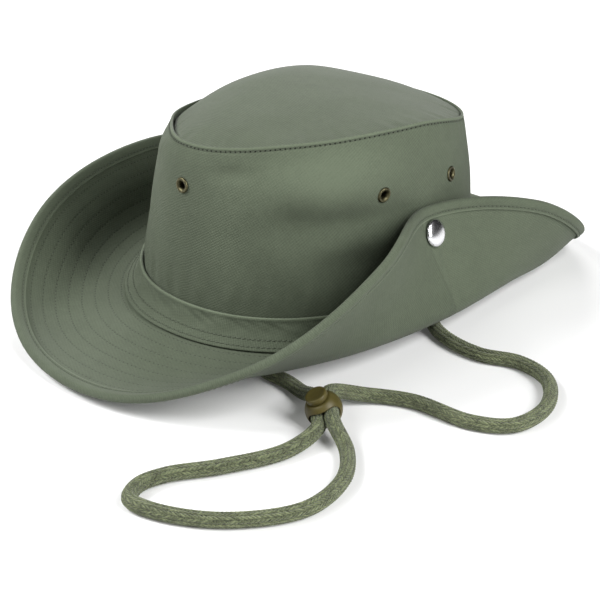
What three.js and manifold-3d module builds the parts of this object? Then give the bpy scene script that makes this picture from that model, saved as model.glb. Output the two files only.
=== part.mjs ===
/**
 * Bush hat: one side of the brim is turned up and snapped to the crown, the other is curled up.
 *
 * Millimetres, +Z up, standing on z = 0. The front of the hat faces -Y and the wearer's left, the
 * snapped side, is +X. Angles round the hat are degrees from +X towards +Y, so -90 is the front,
 * 0 the snapped side, 90 the back and 180 the wearer's right.
 */
import * as THREE from "three";
import { mergeVertices } from "three/addons/utils/BufferGeometryUtils.js";
import Module from "manifold-3d";

const wasm = await Module();
wasm.setup();

// Driving dimensions

const ROUND = 48; // facets round the hat
const GAP = 0.3; // between neighbouring pieces

// Oval of the crown's base, a superellipse, and its height above the surface
const HEAD = { halfWidth: 84, halfDepth: 101, power: 2.1, height: 26.4 };

// Where the middle of the head oval stands, from the middle of the whole hat
const HEAD_PLACE = new THREE.Vector3(16.4, 10.2, -0.05);

const CLOTH = { crown: 1.6, brim: 2, band: 1.2, lip: 2, binding: 1 };

// The brim is measured along its own cloth, from the crown seam out to the rim. At the back it is
// narrower by a share
const BRIM = { width: 77, seamOffset: 2.1, seamDrop: 15, lap: 1.8, binding: 10.5, bindingUnder: 7 };
const BACK_TRIM = { share: 0.26, at: 91, halfAngle: 30 };
const BRIM_ROWS = [-BRIM.lap, 3, 7, 11, 15, 19.5, 25, 31, 38, 46, 56, BRIM.width - BRIM.binding];

// One row for each 30 degrees: the slope at the seam and at the rim, in degrees above level, and
// the middle and length of the bend between them, along the cloth
const BRIM_SECTIONS = [
  { at: -90, seamSlope: -7.5, rimSlope: 2, bendAt: 48.5, bendLength: 37 },
  { at: -60, seamSlope: -5.5, rimSlope: 29.5, bendAt: 28.5, bendLength: 36.5 },
  { at: -30, seamSlope: -9.5, rimSlope: 75.5, bendAt: 17, bendLength: 34.5 },
  { at: 0, seamSlope: -13.5, rimSlope: 108.5, bendAt: 13.2, bendLength: 23.5 },
  { at: 30, seamSlope: -16.5, rimSlope: 78, bendAt: 21.5, bendLength: 27.5 },
  { at: 60, seamSlope: -14.5, rimSlope: 32, bendAt: 49, bendLength: 34 },
  { at: 90, seamSlope: -11.5, rimSlope: 4.5, bendAt: 47, bendLength: 36 },
  { at: 120, seamSlope: -11.5, rimSlope: 5.5, bendAt: 44.5, bendLength: 39.5 },
  { at: 150, seamSlope: -7.5, rimSlope: 38.5, bendAt: 34.5, bendLength: 37 },
  { at: 180, seamSlope: -6, rimSlope: 58, bendAt: 29, bendLength: 35.5 },
  { at: 210, seamSlope: -8.5, rimSlope: 48, bendAt: 30.5, bendLength: 36 },
  { at: 240, seamSlope: -14.5, rimSlope: 29.5, bendAt: 47.5, bendLength: 35.5 },
];

// One row for each 45 degrees: how far the crown's top seam lies inside its base, how high it is
// above the base, and how far its ridge stands above the top panel
const CROWN_SECTIONS = [
  { at: -90, inset: 4.9, height: 88, ridge: 0.8 },
  { at: -45, inset: 12, height: 92.4, ridge: 0.5 },
  { at: 0, inset: 10.6, height: 90.5, ridge: 0.5 },
  { at: 45, inset: 8, height: 73, ridge: 0.3 },
  { at: 90, inset: 11, height: 68.5, ridge: 0.3 },
  { at: 135, inset: 13, height: 73, ridge: 0.5 },
  { at: 180, inset: 15.5, height: 76, ridge: 1 },
  { at: 225, inset: 17, height: 81, ridge: 2.6 },
];
const CROWN_LEVELS = [0, 0.16, 0.33, 0.5, 0.67, 0.84, 0.95, 1];
const CROWN_BULGE = 1.3;
const CROWN_FOOT = 10.5; // height of the wall's lower edge

// Soft hollows (positive depth) and swells (negative) of the crown's wall: level is the share of
// the wall's height
const CROWN_DENTS = [
  { at: -36, level: 0.42, halfAngle: 13, halfLevel: 0.17, depth: 4 },
  { at: -20, level: 0.24, halfAngle: 10, halfLevel: 0.13, depth: 2.4 },
  { at: -52, level: 0.6, halfAngle: 10, halfLevel: 0.3, depth: -1.6 },
  { at: -84, level: 0.42, halfAngle: 14, halfLevel: 0.2, depth: 1.6 },
  { at: 100, level: 0.5, halfAngle: 24, halfLevel: 0.24, depth: 3 },
  { at: 190, level: 0.45, halfAngle: 18, halfLevel: 0.2, depth: 2 },
];

// Domed top panel: its summit, from the middle of the head oval, and how full the dome is
const TIP = { summit: new THREE.Vector3(-16, -11, 124.2), fullness: 2.1 };
const TIP_RINGS = [0.3, 0.56, 0.78, 0.92, 1];

// Flared strip at the crown's base, from its folded lip down onto the brim
const BAND = { landing: 9, hollow: new THREE.Vector2(3.2, -9.5), lipRise: 0.6 };
const BAND_STEPS = [0, 0.14, 0.38, 0.7, 1];

const EYELET = { flange: 4.3, barrel: 2.6, hole: 2, lift: 0.5, washerGap: 1, facets: 12 };
const EYELETS = [
  { name: "eyelet_front", at: -91, level: 0.75 },
  { name: "eyelet_left_front", at: -15.7, level: 0.65 },
  { name: "eyelet_left_back", at: 15.9, level: 0.645 },
  { name: "eyelet_right_back", at: 164, level: 0.65 },
  { name: "eyelet_right_front", at: 196, level: 0.65 },
];

const SNAP = { at: -0.5, along: 62.2, radius: 7.5, dome: 2.6, lift: 1.4, studRadius: 3.6, facets: 20 };

const CORD = { diameter: 7.5, sides: 8, steps: 80 };

// Cord lock: a ball with a flat top, a slot for the cord's two strands and a round push button
const TOGGLE = {
  centre: new THREE.Vector3(110.8, -114.6, 9.6),
  buttonAxis: new THREE.Vector3(-0.2, -0.4, 0.9).normalize(),
  towardsLoop: new THREE.Vector3(0.67, -0.74, 0),
  radius: 9.5,
  flatAt: 7.2,
  laneSpacing: 7.8,
  clearance: 0.45,
  button: { radius: 5.7, thickness: 3.2, edge: 0.9 },
};

const COLOURS = {
  cloth: { color: 0x6f7a64, roughness: 0.92, metalness: 0 },
  cord: { color: 0x6b7850, roughness: 0.95, metalness: 0 },
  plastic: { color: 0x50512e, roughness: 0.45, metalness: 0 },
  brass: { color: 0x6f674c, roughness: 0.4, metalness: 1 },
  chrome: { color: 0xcfd0d2, roughness: 0.12, metalness: 1 },
};

// Shared shapes

const UP = new THREE.Vector3(0, 0, 1);

/** Value of a table's column at an angle: rows evenly spaced from -90, periodic Catmull-Rom. */
function around(rows, column, angle) {
  const turn = (((angle + 90) / 360) % 1 + 1) % 1;
  const place = turn * rows.length;
  const row = Math.floor(place);
  const t = place - row;
  const [a, b, c, d] = [-1, 0, 1, 2].map((k) => rows[(row + k + rows.length) % rows.length][column]);
  const bend = (2 * a - 5 * b + 4 * c - d) * t ** 2 + (3 * b - a - 3 * c + d) * t ** 3;
  return 0.5 * (2 * b + (c - a) * t + bend);
}

/** Difference of two angles, between -180 and 180. */
function turnBetween(angle, other) {
  return ((angle - other + 540) % 360 + 360) % 360 - 180;
}

/** Point and outward direction, in plan, of the head oval grown by a margin. */
function headOval(angle, margin = 0) {
  const a = HEAD.halfWidth + margin;
  const b = HEAD.halfDepth + margin;
  const c = Math.cos(THREE.MathUtils.degToRad(angle));
  const s = Math.sin(THREE.MathUtils.degToRad(angle));
  const raise = (value, power) => Math.sign(value) * Math.abs(value) ** power;
  const spread = 2 / HEAD.power;
  const point = new THREE.Vector3(a * raise(c, spread), b * raise(s, spread), 0);
  const out = new THREE.Vector3(raise(c, 2 - spread) / a, raise(s, 2 - spread) / b, 0).normalize();
  return { point, out };
}

/** One ring of points round the hat, made by a function of the angle. */
function ring(pointAt) {
  return Array.from({ length: ROUND }, (_, i) => pointAt((i * 360) / ROUND - 90));
}

/**
 * Closed surface through rings of points. Without poles the last ring joins the first, so the
 * rings go round a cross-section. With two poles the first and last rings are closed by fans.
 */
function loft(rings, poles = []) {
  const positions = [...rings.flat(), ...poles].flatMap((point) => point.toArray());
  const count = rings[0].length;
  const faces = [];
  const joins = poles.length ? rings.length - 1 : rings.length;
  for (let k = 0; k < joins; k++) {
    const near = k * count;
    const far = ((k + 1) % rings.length) * count;
    for (let i = 0; i < count; i++) {
      const j = (i + 1) % count;
      faces.push(near + i, near + j, far + j, near + i, far + j, far + i);
    }
  }
  if (poles.length) {
    const first = rings.length * count;
    const lastRing = first - count;
    for (let i = 0; i < count; i++) {
      const j = (i + 1) % count;
      faces.push(first, j, i, first + 1, lastRing + i, lastRing + j);
    }
  }
  const geometry = new THREE.BufferGeometry();
  geometry.setAttribute("position", new THREE.Float32BufferAttribute(positions, 3));
  geometry.setIndex(faces);
  return facingOut(geometry);
}

/** The same geometry with its faces turned outwards, told by the sign of its volume. */
function facingOut(geometry) {
  const place = geometry.getAttribute("position");
  const index = geometry.getIndex();
  const [a, b, c] = [new THREE.Vector3(), new THREE.Vector3(), new THREE.Vector3()];
  let volume = 0;
  for (let i = 0; i < index.count; i += 3) {
    a.fromBufferAttribute(place, index.getX(i));
    b.fromBufferAttribute(place, index.getX(i + 1));
    c.fromBufferAttribute(place, index.getX(i + 2));
    volume += a.dot(b.cross(c));
  }
  if (volume < 0) {
    geometry.setIndex(Array.from(index.array).reverse());
  }
  return geometry;
}

/** Solid for joins and cuts, from a closed geometry. */
function solidOf(geometry) {
  const bare = geometry.clone();
  bare.deleteAttribute("normal");
  bare.deleteAttribute("uv");
  const welded = mergeVertices(bare, 1e-4);
  const mesh = new wasm.Mesh({
    numProp: 3,
    vertProperties: new Float32Array(welded.getAttribute("position").array),
    triVerts: new Uint32Array(welded.getIndex().array),
  });
  return new wasm.Manifold(mesh);
}

/** Geometry of a solid after its joins and cuts. */
function geometryOf(solid) {
  const { vertProperties, triVerts } = solid.getMesh();
  const geometry = new THREE.BufferGeometry();
  geometry.setAttribute("position", new THREE.Float32BufferAttribute(vertProperties, 3));
  geometry.setIndex(Array.from(triVerts));
  return geometry;
}

/** Turned shape whose axis is +Z, from a profile of [radius, height] pairs. */
function turned(profile, facets) {
  const points = profile.map(([radius, height]) => new THREE.Vector2(radius, height));
  return facingOut(new THREE.LatheGeometry(points, facets).rotateX(Math.PI / 2));
}

/** Moves a shape whose axis is +Z to a point, with its axis along a direction. */
function stand(geometry, point, axis) {
  const turn = new THREE.Quaternion().setFromUnitVectors(UP, axis.clone().normalize());
  return geometry.applyQuaternion(turn).translate(point.x, point.y, point.z);
}

function piece(name, geometry, look) {
  geometry.computeVertexNormals();
  const mesh = new THREE.Mesh(geometry, new THREE.MeshStandardMaterial(look));
  mesh.name = name;
  return mesh;
}

// Brim

/** Slope of the brim's cloth above level, in radians, at a distance along it. */
function brimSlope(angle, along) {
  const seam = around(BRIM_SECTIONS, "seamSlope", angle);
  const rim = around(BRIM_SECTIONS, "rimSlope", angle);
  const middle = around(BRIM_SECTIONS, "bendAt", angle);
  const half = around(BRIM_SECTIONS, "bendLength", angle) / 2;
  const share = THREE.MathUtils.smoothstep(along, middle - half, middle + half);
  return THREE.MathUtils.degToRad(seam + (rim - seam) * share);
}

/** Share of the brim's width that is left at an angle: a bell-shaped cut at the back. */
function brimShare(angle) {
  const { share, at, halfAngle } = BACK_TRIM;
  return 1 - share * Math.exp(-((turnBetween(angle, at) / halfAngle) ** 2));
}

/** Middle of the brim's cloth: the slope summed from the seam out, in equal steps. */
function brimMiddle(angle, along) {
  const { point, out } = headOval(angle, BRIM.seamOffset);
  const reached = along * brimShare(angle);
  const steps = Math.max(4, Math.ceil(Math.abs(reached) / 1.5));
  const step = reached / steps;
  let reach = 0;
  let rise = 0;
  for (let i = 0; i < steps; i++) {
    const slope = brimSlope(angle, (i + 0.5) * step);
    reach += Math.cos(slope) * step;
    rise += Math.sin(slope) * step;
  }
  return point.addScaledVector(out, reach).setZ(HEAD.height - BRIM.seamDrop + rise);
}

/** Direction square to the brim's cloth, on its upper face. */
function brimNormal(angle, along) {
  const reach = 0.5;
  const across = brimMiddle(angle + reach, along).sub(brimMiddle(angle - reach, along));
  const outwards = brimMiddle(angle, along + reach).sub(brimMiddle(angle, along - reach));
  return outwards.cross(across).normalize();
}

/** Point a given height above the middle of the brim's cloth. */
function brimPoint(angle, along, above) {
  return brimMiddle(angle, along).addScaledVector(brimNormal(angle, along), above);
}

/** Shape whose cross-section is a list of [along, above] pairs carried round the brim. */
function brimLoft(section) {
  return loft(section.map(([along, above]) => ring((angle) => brimPoint(angle, along, above))));
}

function brimGeometry() {
  const rows = [...BRIM_ROWS, BRIM.width - CLOTH.binding - GAP - 0.2];
  const face = CLOTH.brim / 2;
  const upper = rows.map((along) => [along, face]);
  const lower = rows.map((along) => [along, -face]).reverse();
  return brimLoft([...upper, ...lower]);
}

/** Tape folded round the rim, its flap below narrower: its inner faces, then its outer ones. */
function bindingGeometry() {
  const inner = CLOTH.brim / 2 + GAP;
  const outer = inner + CLOTH.binding;
  const edge = BRIM.width - BRIM.binding;
  const edgeUnder = BRIM.width - BRIM.bindingUnder;
  const fold = BRIM.width - CLOTH.binding;
  return brimLoft([
    [edge, inner],
    [fold, inner],
    [fold, -inner],
    [edgeUnder, -inner],
    [edgeUnder, -outer],
    [fold - 0.5, -outer],
    [BRIM.width, 0.2 - inner],
    [BRIM.width, inner - 0.2],
    [fold - 0.5, outer],
    [edge, outer],
  ]);
}

// Crown

/** How far a table's dents push the crown's wall in: a sum of bell-shaped hollows. */
function dentDepth(angle, level) {
  return CROWN_DENTS.reduce((sum, dent) => {
    const sideways = turnBetween(angle, dent.at) / dent.halfAngle;
    const upwards = (level - dent.level) / dent.halfLevel;
    return sum + dent.depth * Math.exp(-(sideways ** 2 + upwards ** 2));
  }, 0);
}

/** Outer face of the crown's wall at a share of its height, moved in by a thickness. */
function wallPoint(angle, level, inwards = 0) {
  const { point, out } = headOval(angle);
  const share = Math.max(level, 0);
  const inset = around(CROWN_SECTIONS, "inset", angle) * share;
  const bulge = CROWN_BULGE * 4 * share * (1 - share);
  const fade = THREE.MathUtils.smoothstep(share, 0, 0.15) * (1 - THREE.MathUtils.smoothstep(share, 0.85, 1));
  const dent = dentDepth(angle, share) * fade;
  const height = HEAD.height + around(CROWN_SECTIONS, "height", angle) * level;
  return point.addScaledVector(out, bulge - inset - dent - inwards).setZ(height);
}

/** Direction square to the crown's wall, outwards. */
function wallNormal(angle, level) {
  const across = wallPoint(angle + 1, level).sub(wallPoint(angle - 1, level));
  const upwards = wallPoint(angle, level + 0.02).sub(wallPoint(angle, level - 0.02));
  return across.cross(upwards).normalize();
}

function wallGeometry() {
  const foot = (angle, inwards) => wallPoint(angle, 0, inwards).setZ(CROWN_FOOT);
  const outer = CROWN_LEVELS.map((level) => ring((angle) => wallPoint(angle, level)));
  const inner = CROWN_LEVELS.map((level) => ring((angle) => wallPoint(angle, level, CLOTH.crown)));
  const shell = loft([
    ring((angle) => foot(angle, 0)),
    ...outer,
    ...inner.reverse(),
    ring((angle) => foot(angle, CLOTH.crown)),
  ]);
  return geometryOf(EYELETS.reduce((solid, eyelet) => {
    const drill = new THREE.CylinderGeometry(EYELET.barrel + 0.35, EYELET.barrel + 0.35, 12, EYELET.facets);
    drill.rotateX(Math.PI / 2);
    const { at, level } = eyelet;
    return solid.subtract(solidOf(stand(drill, wallPoint(at, level), wallNormal(at, level))));
  }, solidOf(shell)));
}

/** Top panel: height falls from the summit to the seam as a power of the distance out. */
function tipGeometry() {
  const { summit, fullness } = TIP;
  const tipPoint = (angle, share, below) => {
    const edge = wallPoint(angle, 1, CLOTH.crown + GAP);
    const drop = (summit.z - edge.z + around(CROWN_SECTIONS, "ridge", angle)) * share ** fullness;
    return summit.clone().lerp(edge, share).setZ(summit.z - drop - below);
  };
  const top = TIP_RINGS.map((share) => ring((angle) => tipPoint(angle, share, 0)));
  const under = TIP_RINGS.map((share) => ring((angle) => tipPoint(angle, share, CLOTH.crown)));
  const lowPole = summit.clone().setZ(summit.z - CLOTH.crown);
  return loft([...top, ...under.reverse()], [summit.clone(), lowPole]);
}

/** Flared strip: a curve from the lip at the wall to the brim, with the cloth's thickness. */
function bandGeometry() {
  const section = (angle) => {
    const { point, out } = headOval(angle);
    const place = (reach, height) => point.clone().addScaledVector(out, reach).setZ(height);
    const landing = brimPoint(angle, BAND.landing, CLOTH.brim / 2 + GAP + CLOTH.band / 2);
    return new THREE.QuadraticBezierCurve3(
      place(GAP + CLOTH.lip / 2 + 0.1, HEAD.height + BAND.lipRise),
      place(BAND.hollow.x, HEAD.height + BAND.hollow.y),
      landing,
    );
  };
  const offset = (share, side) => ring((angle) => {
    const curve = section(angle);
    const { out } = headOval(angle);
    const along = curve.getTangent(share);
    const lean = new THREE.Vector3().crossVectors(along, new THREE.Vector3().crossVectors(out, UP));
    const thick = share < 0.1 ? CLOTH.lip : CLOTH.band;
    return curve.getPoint(share).addScaledVector(lean.normalize(), (side * thick) / 2);
  });
  const outside = BAND_STEPS.map((share) => offset(share, 1));
  const inside = BAND_STEPS.map((share) => offset(share, -1));
  return loft([...outside, ...inside.reverse()]);
}

// Metal fittings

/** Eyelet: a rolled flange outside, a barrel through the cloth and a washer inside. */
function eyeletGeometry({ at, level }) {
  const { flange, barrel, hole, lift, washerGap } = EYELET;
  const inside = -CLOTH.crown - washerGap;
  const profile = [
    [hole, inside - 0.5],
    [hole, 1.1],
    [hole + 0.8, 1.6],
    [flange - 0.4, 1.3],
    [flange, lift],
    [barrel, lift],
    [barrel, inside],
    [flange - 0.3, inside],
    [flange - 0.3, inside - 0.5],
  ];
  profile.push(profile[0]);
  return stand(turned(profile, EYELET.facets), wallPoint(at, level), wallNormal(at, level));
}

/** Domed cap of the press stud, on the outer face of the turned-up brim. */
function snapCapGeometry() {
  const { at, along, radius, dome, lift, facets } = SNAP;
  const profile = [
    [0, 0],
    [radius - 0.5, 0],
    [radius, 0.5],
    [radius * 0.94, dome * 0.5],
    [radius * 0.74, dome * 0.82],
    [radius * 0.4, dome * 0.97],
    [0, dome],
  ];
  const outwards = brimNormal(at, along).negate();
  const seat = brimPoint(at, along, -CLOTH.brim / 2 - lift);
  return stand(turned(profile, facets), seat, outwards);
}

/** Plain post of the press stud, between the turned-up brim and the crown. */
function snapStudGeometry() {
  const brimFace = brimPoint(SNAP.at, SNAP.along, CLOTH.brim / 2);
  const level = (brimFace.z - HEAD.height) / around(CROWN_SECTIONS, "height", SNAP.at);
  const wallFace = wallPoint(SNAP.at, level);
  const axis = brimFace.clone().sub(wallFace);
  const room = axis.length();
  const half = room / 2 - GAP - 0.9;
  const profile = [
    [0, -half],
    [SNAP.studRadius, -half],
    [SNAP.studRadius, half],
    [0, half],
  ];
  return stand(turned(profile, SNAP.facets), wallFace.lerp(brimFace, 0.5), axis);
}

// Cord and cord lock, in the head oval's frame

/** Direction of the slot through the cord lock, towards the loop, and across its two lanes. */
function toggleAxes() {
  const { buttonAxis, towardsLoop } = TOGGLE;
  const through = towardsLoop.clone().addScaledVector(buttonAxis, -towardsLoop.dot(buttonAxis));
  through.normalize();
  const across = new THREE.Vector3().crossVectors(buttonAxis, through);
  return { through, across };
}

/** Point in the cord lock's slot: lane -1 or 1 and a distance towards the loop. */
function lanePoint(lane, forward) {
  const { through, across } = toggleAxes();
  const sideways = (lane * TOGGLE.laneSpacing) / 2;
  return TOGGLE.centre.clone().addScaledVector(across, sideways).addScaledVector(through, forward);
}

const onFloor = (x, y, height = CORD.diameter / 2 + 0.35) => new THREE.Vector3(x, y, height);

/** The cord's route: from the crown's left wall, out, through the lock, round, back and in. */
const CORD_ROUTE = [
  onFloor(60.5, 62.3, 18),
  onFloor(71, 42, 14),
  onFloor(76.3, 22, 8),
  onFloor(84, 6),
  onFloor(102, -6),
  onFloor(128, -9.5),
  onFloor(150, -2.5),
  onFloor(171, -8.5),
  onFloor(186.5, -32),
  onFloor(184.5, -57),
  onFloor(166.5, -68.5),
  onFloor(133.5, -71.5),
  onFloor(113, -84, 5.4),
  lanePoint(1, -11),
  lanePoint(1, 0),
  lanePoint(1, 11.5),
  onFloor(139.5, -130.5, 4.4),
  onFloor(154.5, -151),
  onFloor(157.5, -181),
  onFloor(137, -211),
  onFloor(109, -227),
  onFloor(92.5, -228.5),
  onFloor(86.5, -217.5),
  onFloor(89.5, -203),
  onFloor(104, -180),
  onFloor(117.5, -148.5),
  lanePoint(-1, 11.5),
  lanePoint(-1, 0),
  lanePoint(-1, -12),
  onFloor(87, -103.5, 5.2),
  onFloor(73, -99.5),
  onFloor(56, -98.5),
  onFloor(27, -88),
  onFloor(-5, -45),
  onFloor(-46, 6),
  onFloor(-65, 25, 6),
  onFloor(-71.2, 43, 11),
  onFloor(-60.5, 62.3, 18),
];

function cordGeometry() {
  const section = new THREE.Shape();
  for (let i = 0; i < CORD.sides; i++) {
    const turn = ((i + 0.5) * 2 * Math.PI) / CORD.sides;
    const [x, y] = [Math.cos(turn), Math.sin(turn)].map((value) => (value * CORD.diameter) / 2);
    if (i === 0) section.moveTo(x, y);
    else section.lineTo(x, y);
  }
  const path = new THREE.CatmullRomCurve3(CORD_ROUTE, false, "centripetal");
  path.arcLengthDivisions = 2000;
  return new THREE.ExtrudeGeometry(section, {
    steps: CORD.steps,
    extrudePath: path,
    bevelEnabled: false,
  });
}

/** Turn and place that take +Z to the button's axis and +X across the two lanes. */
function toggleFrame() {
  const { through, across } = toggleAxes();
  const frame = new THREE.Matrix4().makeBasis(across, through.clone().negate(), TOGGLE.buttonAxis);
  return frame.setPosition(TOGGLE.centre);
}

function toggleGeometry() {
  const { radius, flatAt, laneSpacing, clearance } = TOGGLE;
  const ball = solidOf(new THREE.SphereGeometry(radius, 20, 14).rotateX(Math.PI / 2));
  const top = new THREE.BoxGeometry(3 * radius, 3 * radius, radius).translate(0, 0, flatAt + radius / 2);
  const round = CORD.diameter / 2 + clearance;
  const side = laneSpacing / 2;
  const mouth = new THREE.Shape();
  mouth.moveTo(-side, -round);
  mouth.lineTo(side, -round);
  mouth.absarc(side, 0, round, -Math.PI / 2, Math.PI / 2, false);
  mouth.lineTo(-side, round);
  mouth.absarc(-side, 0, round, Math.PI / 2, (3 * Math.PI) / 2, false);
  const slot = new THREE.ExtrudeGeometry(mouth, { depth: 3 * radius, bevelEnabled: false, curveSegments: 8 });
  slot.translate(0, 0, -1.5 * radius).rotateX(Math.PI / 2);
  const body = ball.subtract(solidOf(top)).subtract(solidOf(slot));
  return geometryOf(body).applyMatrix4(toggleFrame());
}

function buttonGeometry() {
  const { radius, thickness, edge } = TOGGLE.button;
  const base = TOGGLE.flatAt + GAP;
  const profile = [
    [0, base],
    [radius - edge / 2, base],
    [radius, base + edge / 2],
    [radius, base + thickness - edge],
    [radius - edge, base + thickness],
    [0, base + thickness],
  ];
  return turned(profile, 20).applyMatrix4(toggleFrame());
}

// The hat

const hat = new THREE.Group();
hat.position.copy(HEAD_PLACE);
hat.add(
  piece("crown_side", wallGeometry(), COLOURS.cloth),
  piece("crown_tip", tipGeometry(), COLOURS.cloth),
  piece("hat_band", bandGeometry(), COLOURS.cloth),
  piece("brim", brimGeometry(), COLOURS.cloth),
  piece("brim_binding", bindingGeometry(), COLOURS.cloth),
  ...EYELETS.map((eyelet) => piece(eyelet.name, eyeletGeometry(eyelet), COLOURS.brass)),
  piece("snap_cap", snapCapGeometry(), COLOURS.chrome),
  piece("snap_stud", snapStudGeometry(), COLOURS.brass),
  piece("chin_cord", cordGeometry(), COLOURS.cord),
  piece("cord_toggle", toggleGeometry(), COLOURS.plastic),
  piece("toggle_button", buttonGeometry(), COLOURS.plastic),
);

export default hat;
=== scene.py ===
"""Bush hat in sage green cotton twill: the cloth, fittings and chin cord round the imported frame.

Metres, +Z up, standing on z = 0. The front of the hat faces -Y and the wearer's left, the snapped
side, is +X. Angles round the hat are degrees from +X towards +Y, so -90 is the front, 0 the
snapped side, 90 the back and 180 the wearer's right. Shapes are worked out in the frame of the
head oval and moved by HEAD_PLACE when they become meshes.
"""

from __future__ import annotations

import logging
import math
from dataclasses import dataclass, field
from enum import Enum
from typing import Any, Callable, Sequence, Union

import bpy
import numpy as np
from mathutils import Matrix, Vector


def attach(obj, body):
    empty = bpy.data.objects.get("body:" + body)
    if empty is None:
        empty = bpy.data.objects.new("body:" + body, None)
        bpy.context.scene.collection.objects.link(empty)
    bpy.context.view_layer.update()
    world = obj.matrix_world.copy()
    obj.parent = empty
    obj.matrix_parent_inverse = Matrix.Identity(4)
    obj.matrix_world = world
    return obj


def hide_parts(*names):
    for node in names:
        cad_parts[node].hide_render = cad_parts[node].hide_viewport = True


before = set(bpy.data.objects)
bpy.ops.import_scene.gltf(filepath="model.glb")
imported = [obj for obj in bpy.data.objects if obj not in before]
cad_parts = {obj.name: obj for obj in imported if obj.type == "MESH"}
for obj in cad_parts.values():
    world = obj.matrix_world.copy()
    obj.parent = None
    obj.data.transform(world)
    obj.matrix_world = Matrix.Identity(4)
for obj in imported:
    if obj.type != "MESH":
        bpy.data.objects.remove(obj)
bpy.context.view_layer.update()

log = logging.getLogger("bush_hat")

Array = np.ndarray
Pair = tuple[float, float]
Point = tuple[float, float, float]
Colour = tuple[float, float, float]

BODY = "root"
MM = 0.001
GAP = 0.3 * MM
FRONT = -90.0
LEFT_JOIN, RIGHT_JOIN = 360.0, 540.0
HEAD_PLACE = np.array((16.4, 10.2, -0.05)) * MM
UP = np.array((0.0, 0.0, 1.0))


# Tables


@dataclass(frozen=True)
class BrimSection:
    """One section of the brim: slopes in degrees above level, lengths along the cloth."""

    at: float
    seam_slope: float
    rim_slope: float
    bend_at: float
    bend_length: float


@dataclass(frozen=True)
class CrownSection:
    """One section of the crown: how its top seam lies to its base and to the top panel."""

    at: float
    inset: float
    height: float
    ridge: float


@dataclass(frozen=True)
class WallSpot:
    """A spot of the crown's wall that fades away from an angle and a share of the wall's height.

    For a dent the strength is its depth, and below 0 for a swell. For painted light and shade it
    is 1 where the cloth is painted lightest, and below 0 where painted shade darkens it.
    """

    at: float
    level: float
    half_angle: float
    half_level: float
    strength: float


@dataclass(frozen=True)
class Gathers:
    """An uneven ripple round the hat: whole numbers of waves in one turn, and its seed."""

    waves: tuple[int, ...]
    seed: int


@dataclass(frozen=True)
class VentEyelet:
    """Place of one eyelet: its angle and its share of the wall's height."""

    name: str
    at: float
    level: float


BRIM_SECTIONS = (
    BrimSection(-90, -7.5, 2, 0.0485, 0.037),
    BrimSection(-60, -5.5, 29.5, 0.0285, 0.0365),
    BrimSection(-30, -9.5, 75.5, 0.017, 0.0345),
    BrimSection(0, -13.5, 108.5, 0.0132, 0.0235),
    BrimSection(30, -16.5, 78, 0.0215, 0.0275),
    BrimSection(60, -14.5, 32, 0.049, 0.034),
    BrimSection(90, -11.5, 4.5, 0.047, 0.036),
    BrimSection(120, -11.5, 5.5, 0.0445, 0.0395),
    BrimSection(150, -7.5, 38.5, 0.0345, 0.037),
    BrimSection(180, -6, 58, 0.029, 0.0355),
    BrimSection(210, -8.5, 48, 0.0305, 0.036),
    BrimSection(240, -14.5, 29.5, 0.0475, 0.0355),
)

CROWN_SECTIONS = (
    CrownSection(-90, 0.0049, 0.088, 0.0008),
    CrownSection(-45, 0.012, 0.0924, 0.0005),
    CrownSection(0, 0.0106, 0.0905, 0.0005),
    CrownSection(45, 0.008, 0.073, 0.0003),
    CrownSection(90, 0.011, 0.0685, 0.0003),
    CrownSection(135, 0.013, 0.073, 0.0005),
    CrownSection(180, 0.0145, 0.073, 0.001),
    CrownSection(225, 0.0152, 0.0812, 0.0026),
)

CROWN_DENTS = (
    WallSpot(-35, 0.74, 19, 0.14, -0.0044),
    WallSpot(-50, 0.54, 12, 0.1, 0.0024),
    WallSpot(-31, 0.52, 13, 0.085, 0.003),
    WallSpot(-10, 0.5, 11, 0.11, 0.0028),
    WallSpot(-25, 0.27, 11, 0.1, 0.004),
    WallSpot(-70, 0.86, 8, 0.05, 0.0012),
    WallSpot(-84, 0.42, 14, 0.2, 0.0016),
    WallSpot(100, 0.5, 24, 0.24, 0.003),
    WallSpot(190, 0.45, 18, 0.2, 0.002),
)

# Painted light and shade on the crown's wall: a painted highlight on the upper swell and at the front
# corner, and painted shadow low in the pocket beside the turned-up brim.
CROWN_PAINTED_SHADING = (
    WallSpot(-38, 0.84, 27, 0.17, 1.0),
    WallSpot(-74, 0.62, 9, 0.34, 0.4),
    WallSpot(-19, 0.24, 17, 0.17, -0.75),
)

SEAM_GATHERS = Gathers((41, 57, 73, 88), 3)
BASE_GATHERS = Gathers((23, 37, 52), 5)
WALL_WAVES = Gathers((9, 13, 17), 8)
EDGE_GATHERS = Gathers((31, 44, 59), 11)
TOP_WAVES = Gathers((3, 5, 7), 14)
BAND_WAVES = Gathers((11, 17, 26), 21)
BAND_GATHERS = Gathers((34, 47, 61), 23)

EYELETS = (
    VentEyelet("eyelet_front", -91, 0.75),
    VentEyelet("eyelet_left_front", -15.7, 0.65),
    VentEyelet("eyelet_left_back", 15.9, 0.645),
    VentEyelet("eyelet_right_back", 164, 0.65),
    VentEyelet("eyelet_right_front", 196, 0.65),
)


# Arithmetic on whole arrays


def smooth_step(value: Array, low: float | Array, high: float | Array) -> Array:
    """Smooth rise from 0 at low to 1 at high: 3t^2 - 2t^3.

    Args:
        value: where the rise is read.
        low: where it starts.
        high: where it ends.

    Returns:
        The rise, one number for each value.
    """
    t = np.clip((value - low) / (high - low), 0, 1)
    return t * t * (3 - 2 * t)


def bell(value: Array, width: float) -> Array:
    """Bell curve exp(-(value / width)^2).

    Args:
        value: distance from the middle.
        width: distance at which it falls to 1/e.

    Returns:
        The curve's height, one number for each value.
    """
    return np.exp(-((value / width) ** 2))


def unit(vectors: Array) -> Array:
    """Vectors scaled to length 1.

    Args:
        vectors: any array whose last axis is x, y, z.

    Returns:
        An array of the same shape.
    """
    return vectors / np.linalg.norm(vectors, axis=-1, keepdims=True)


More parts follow.
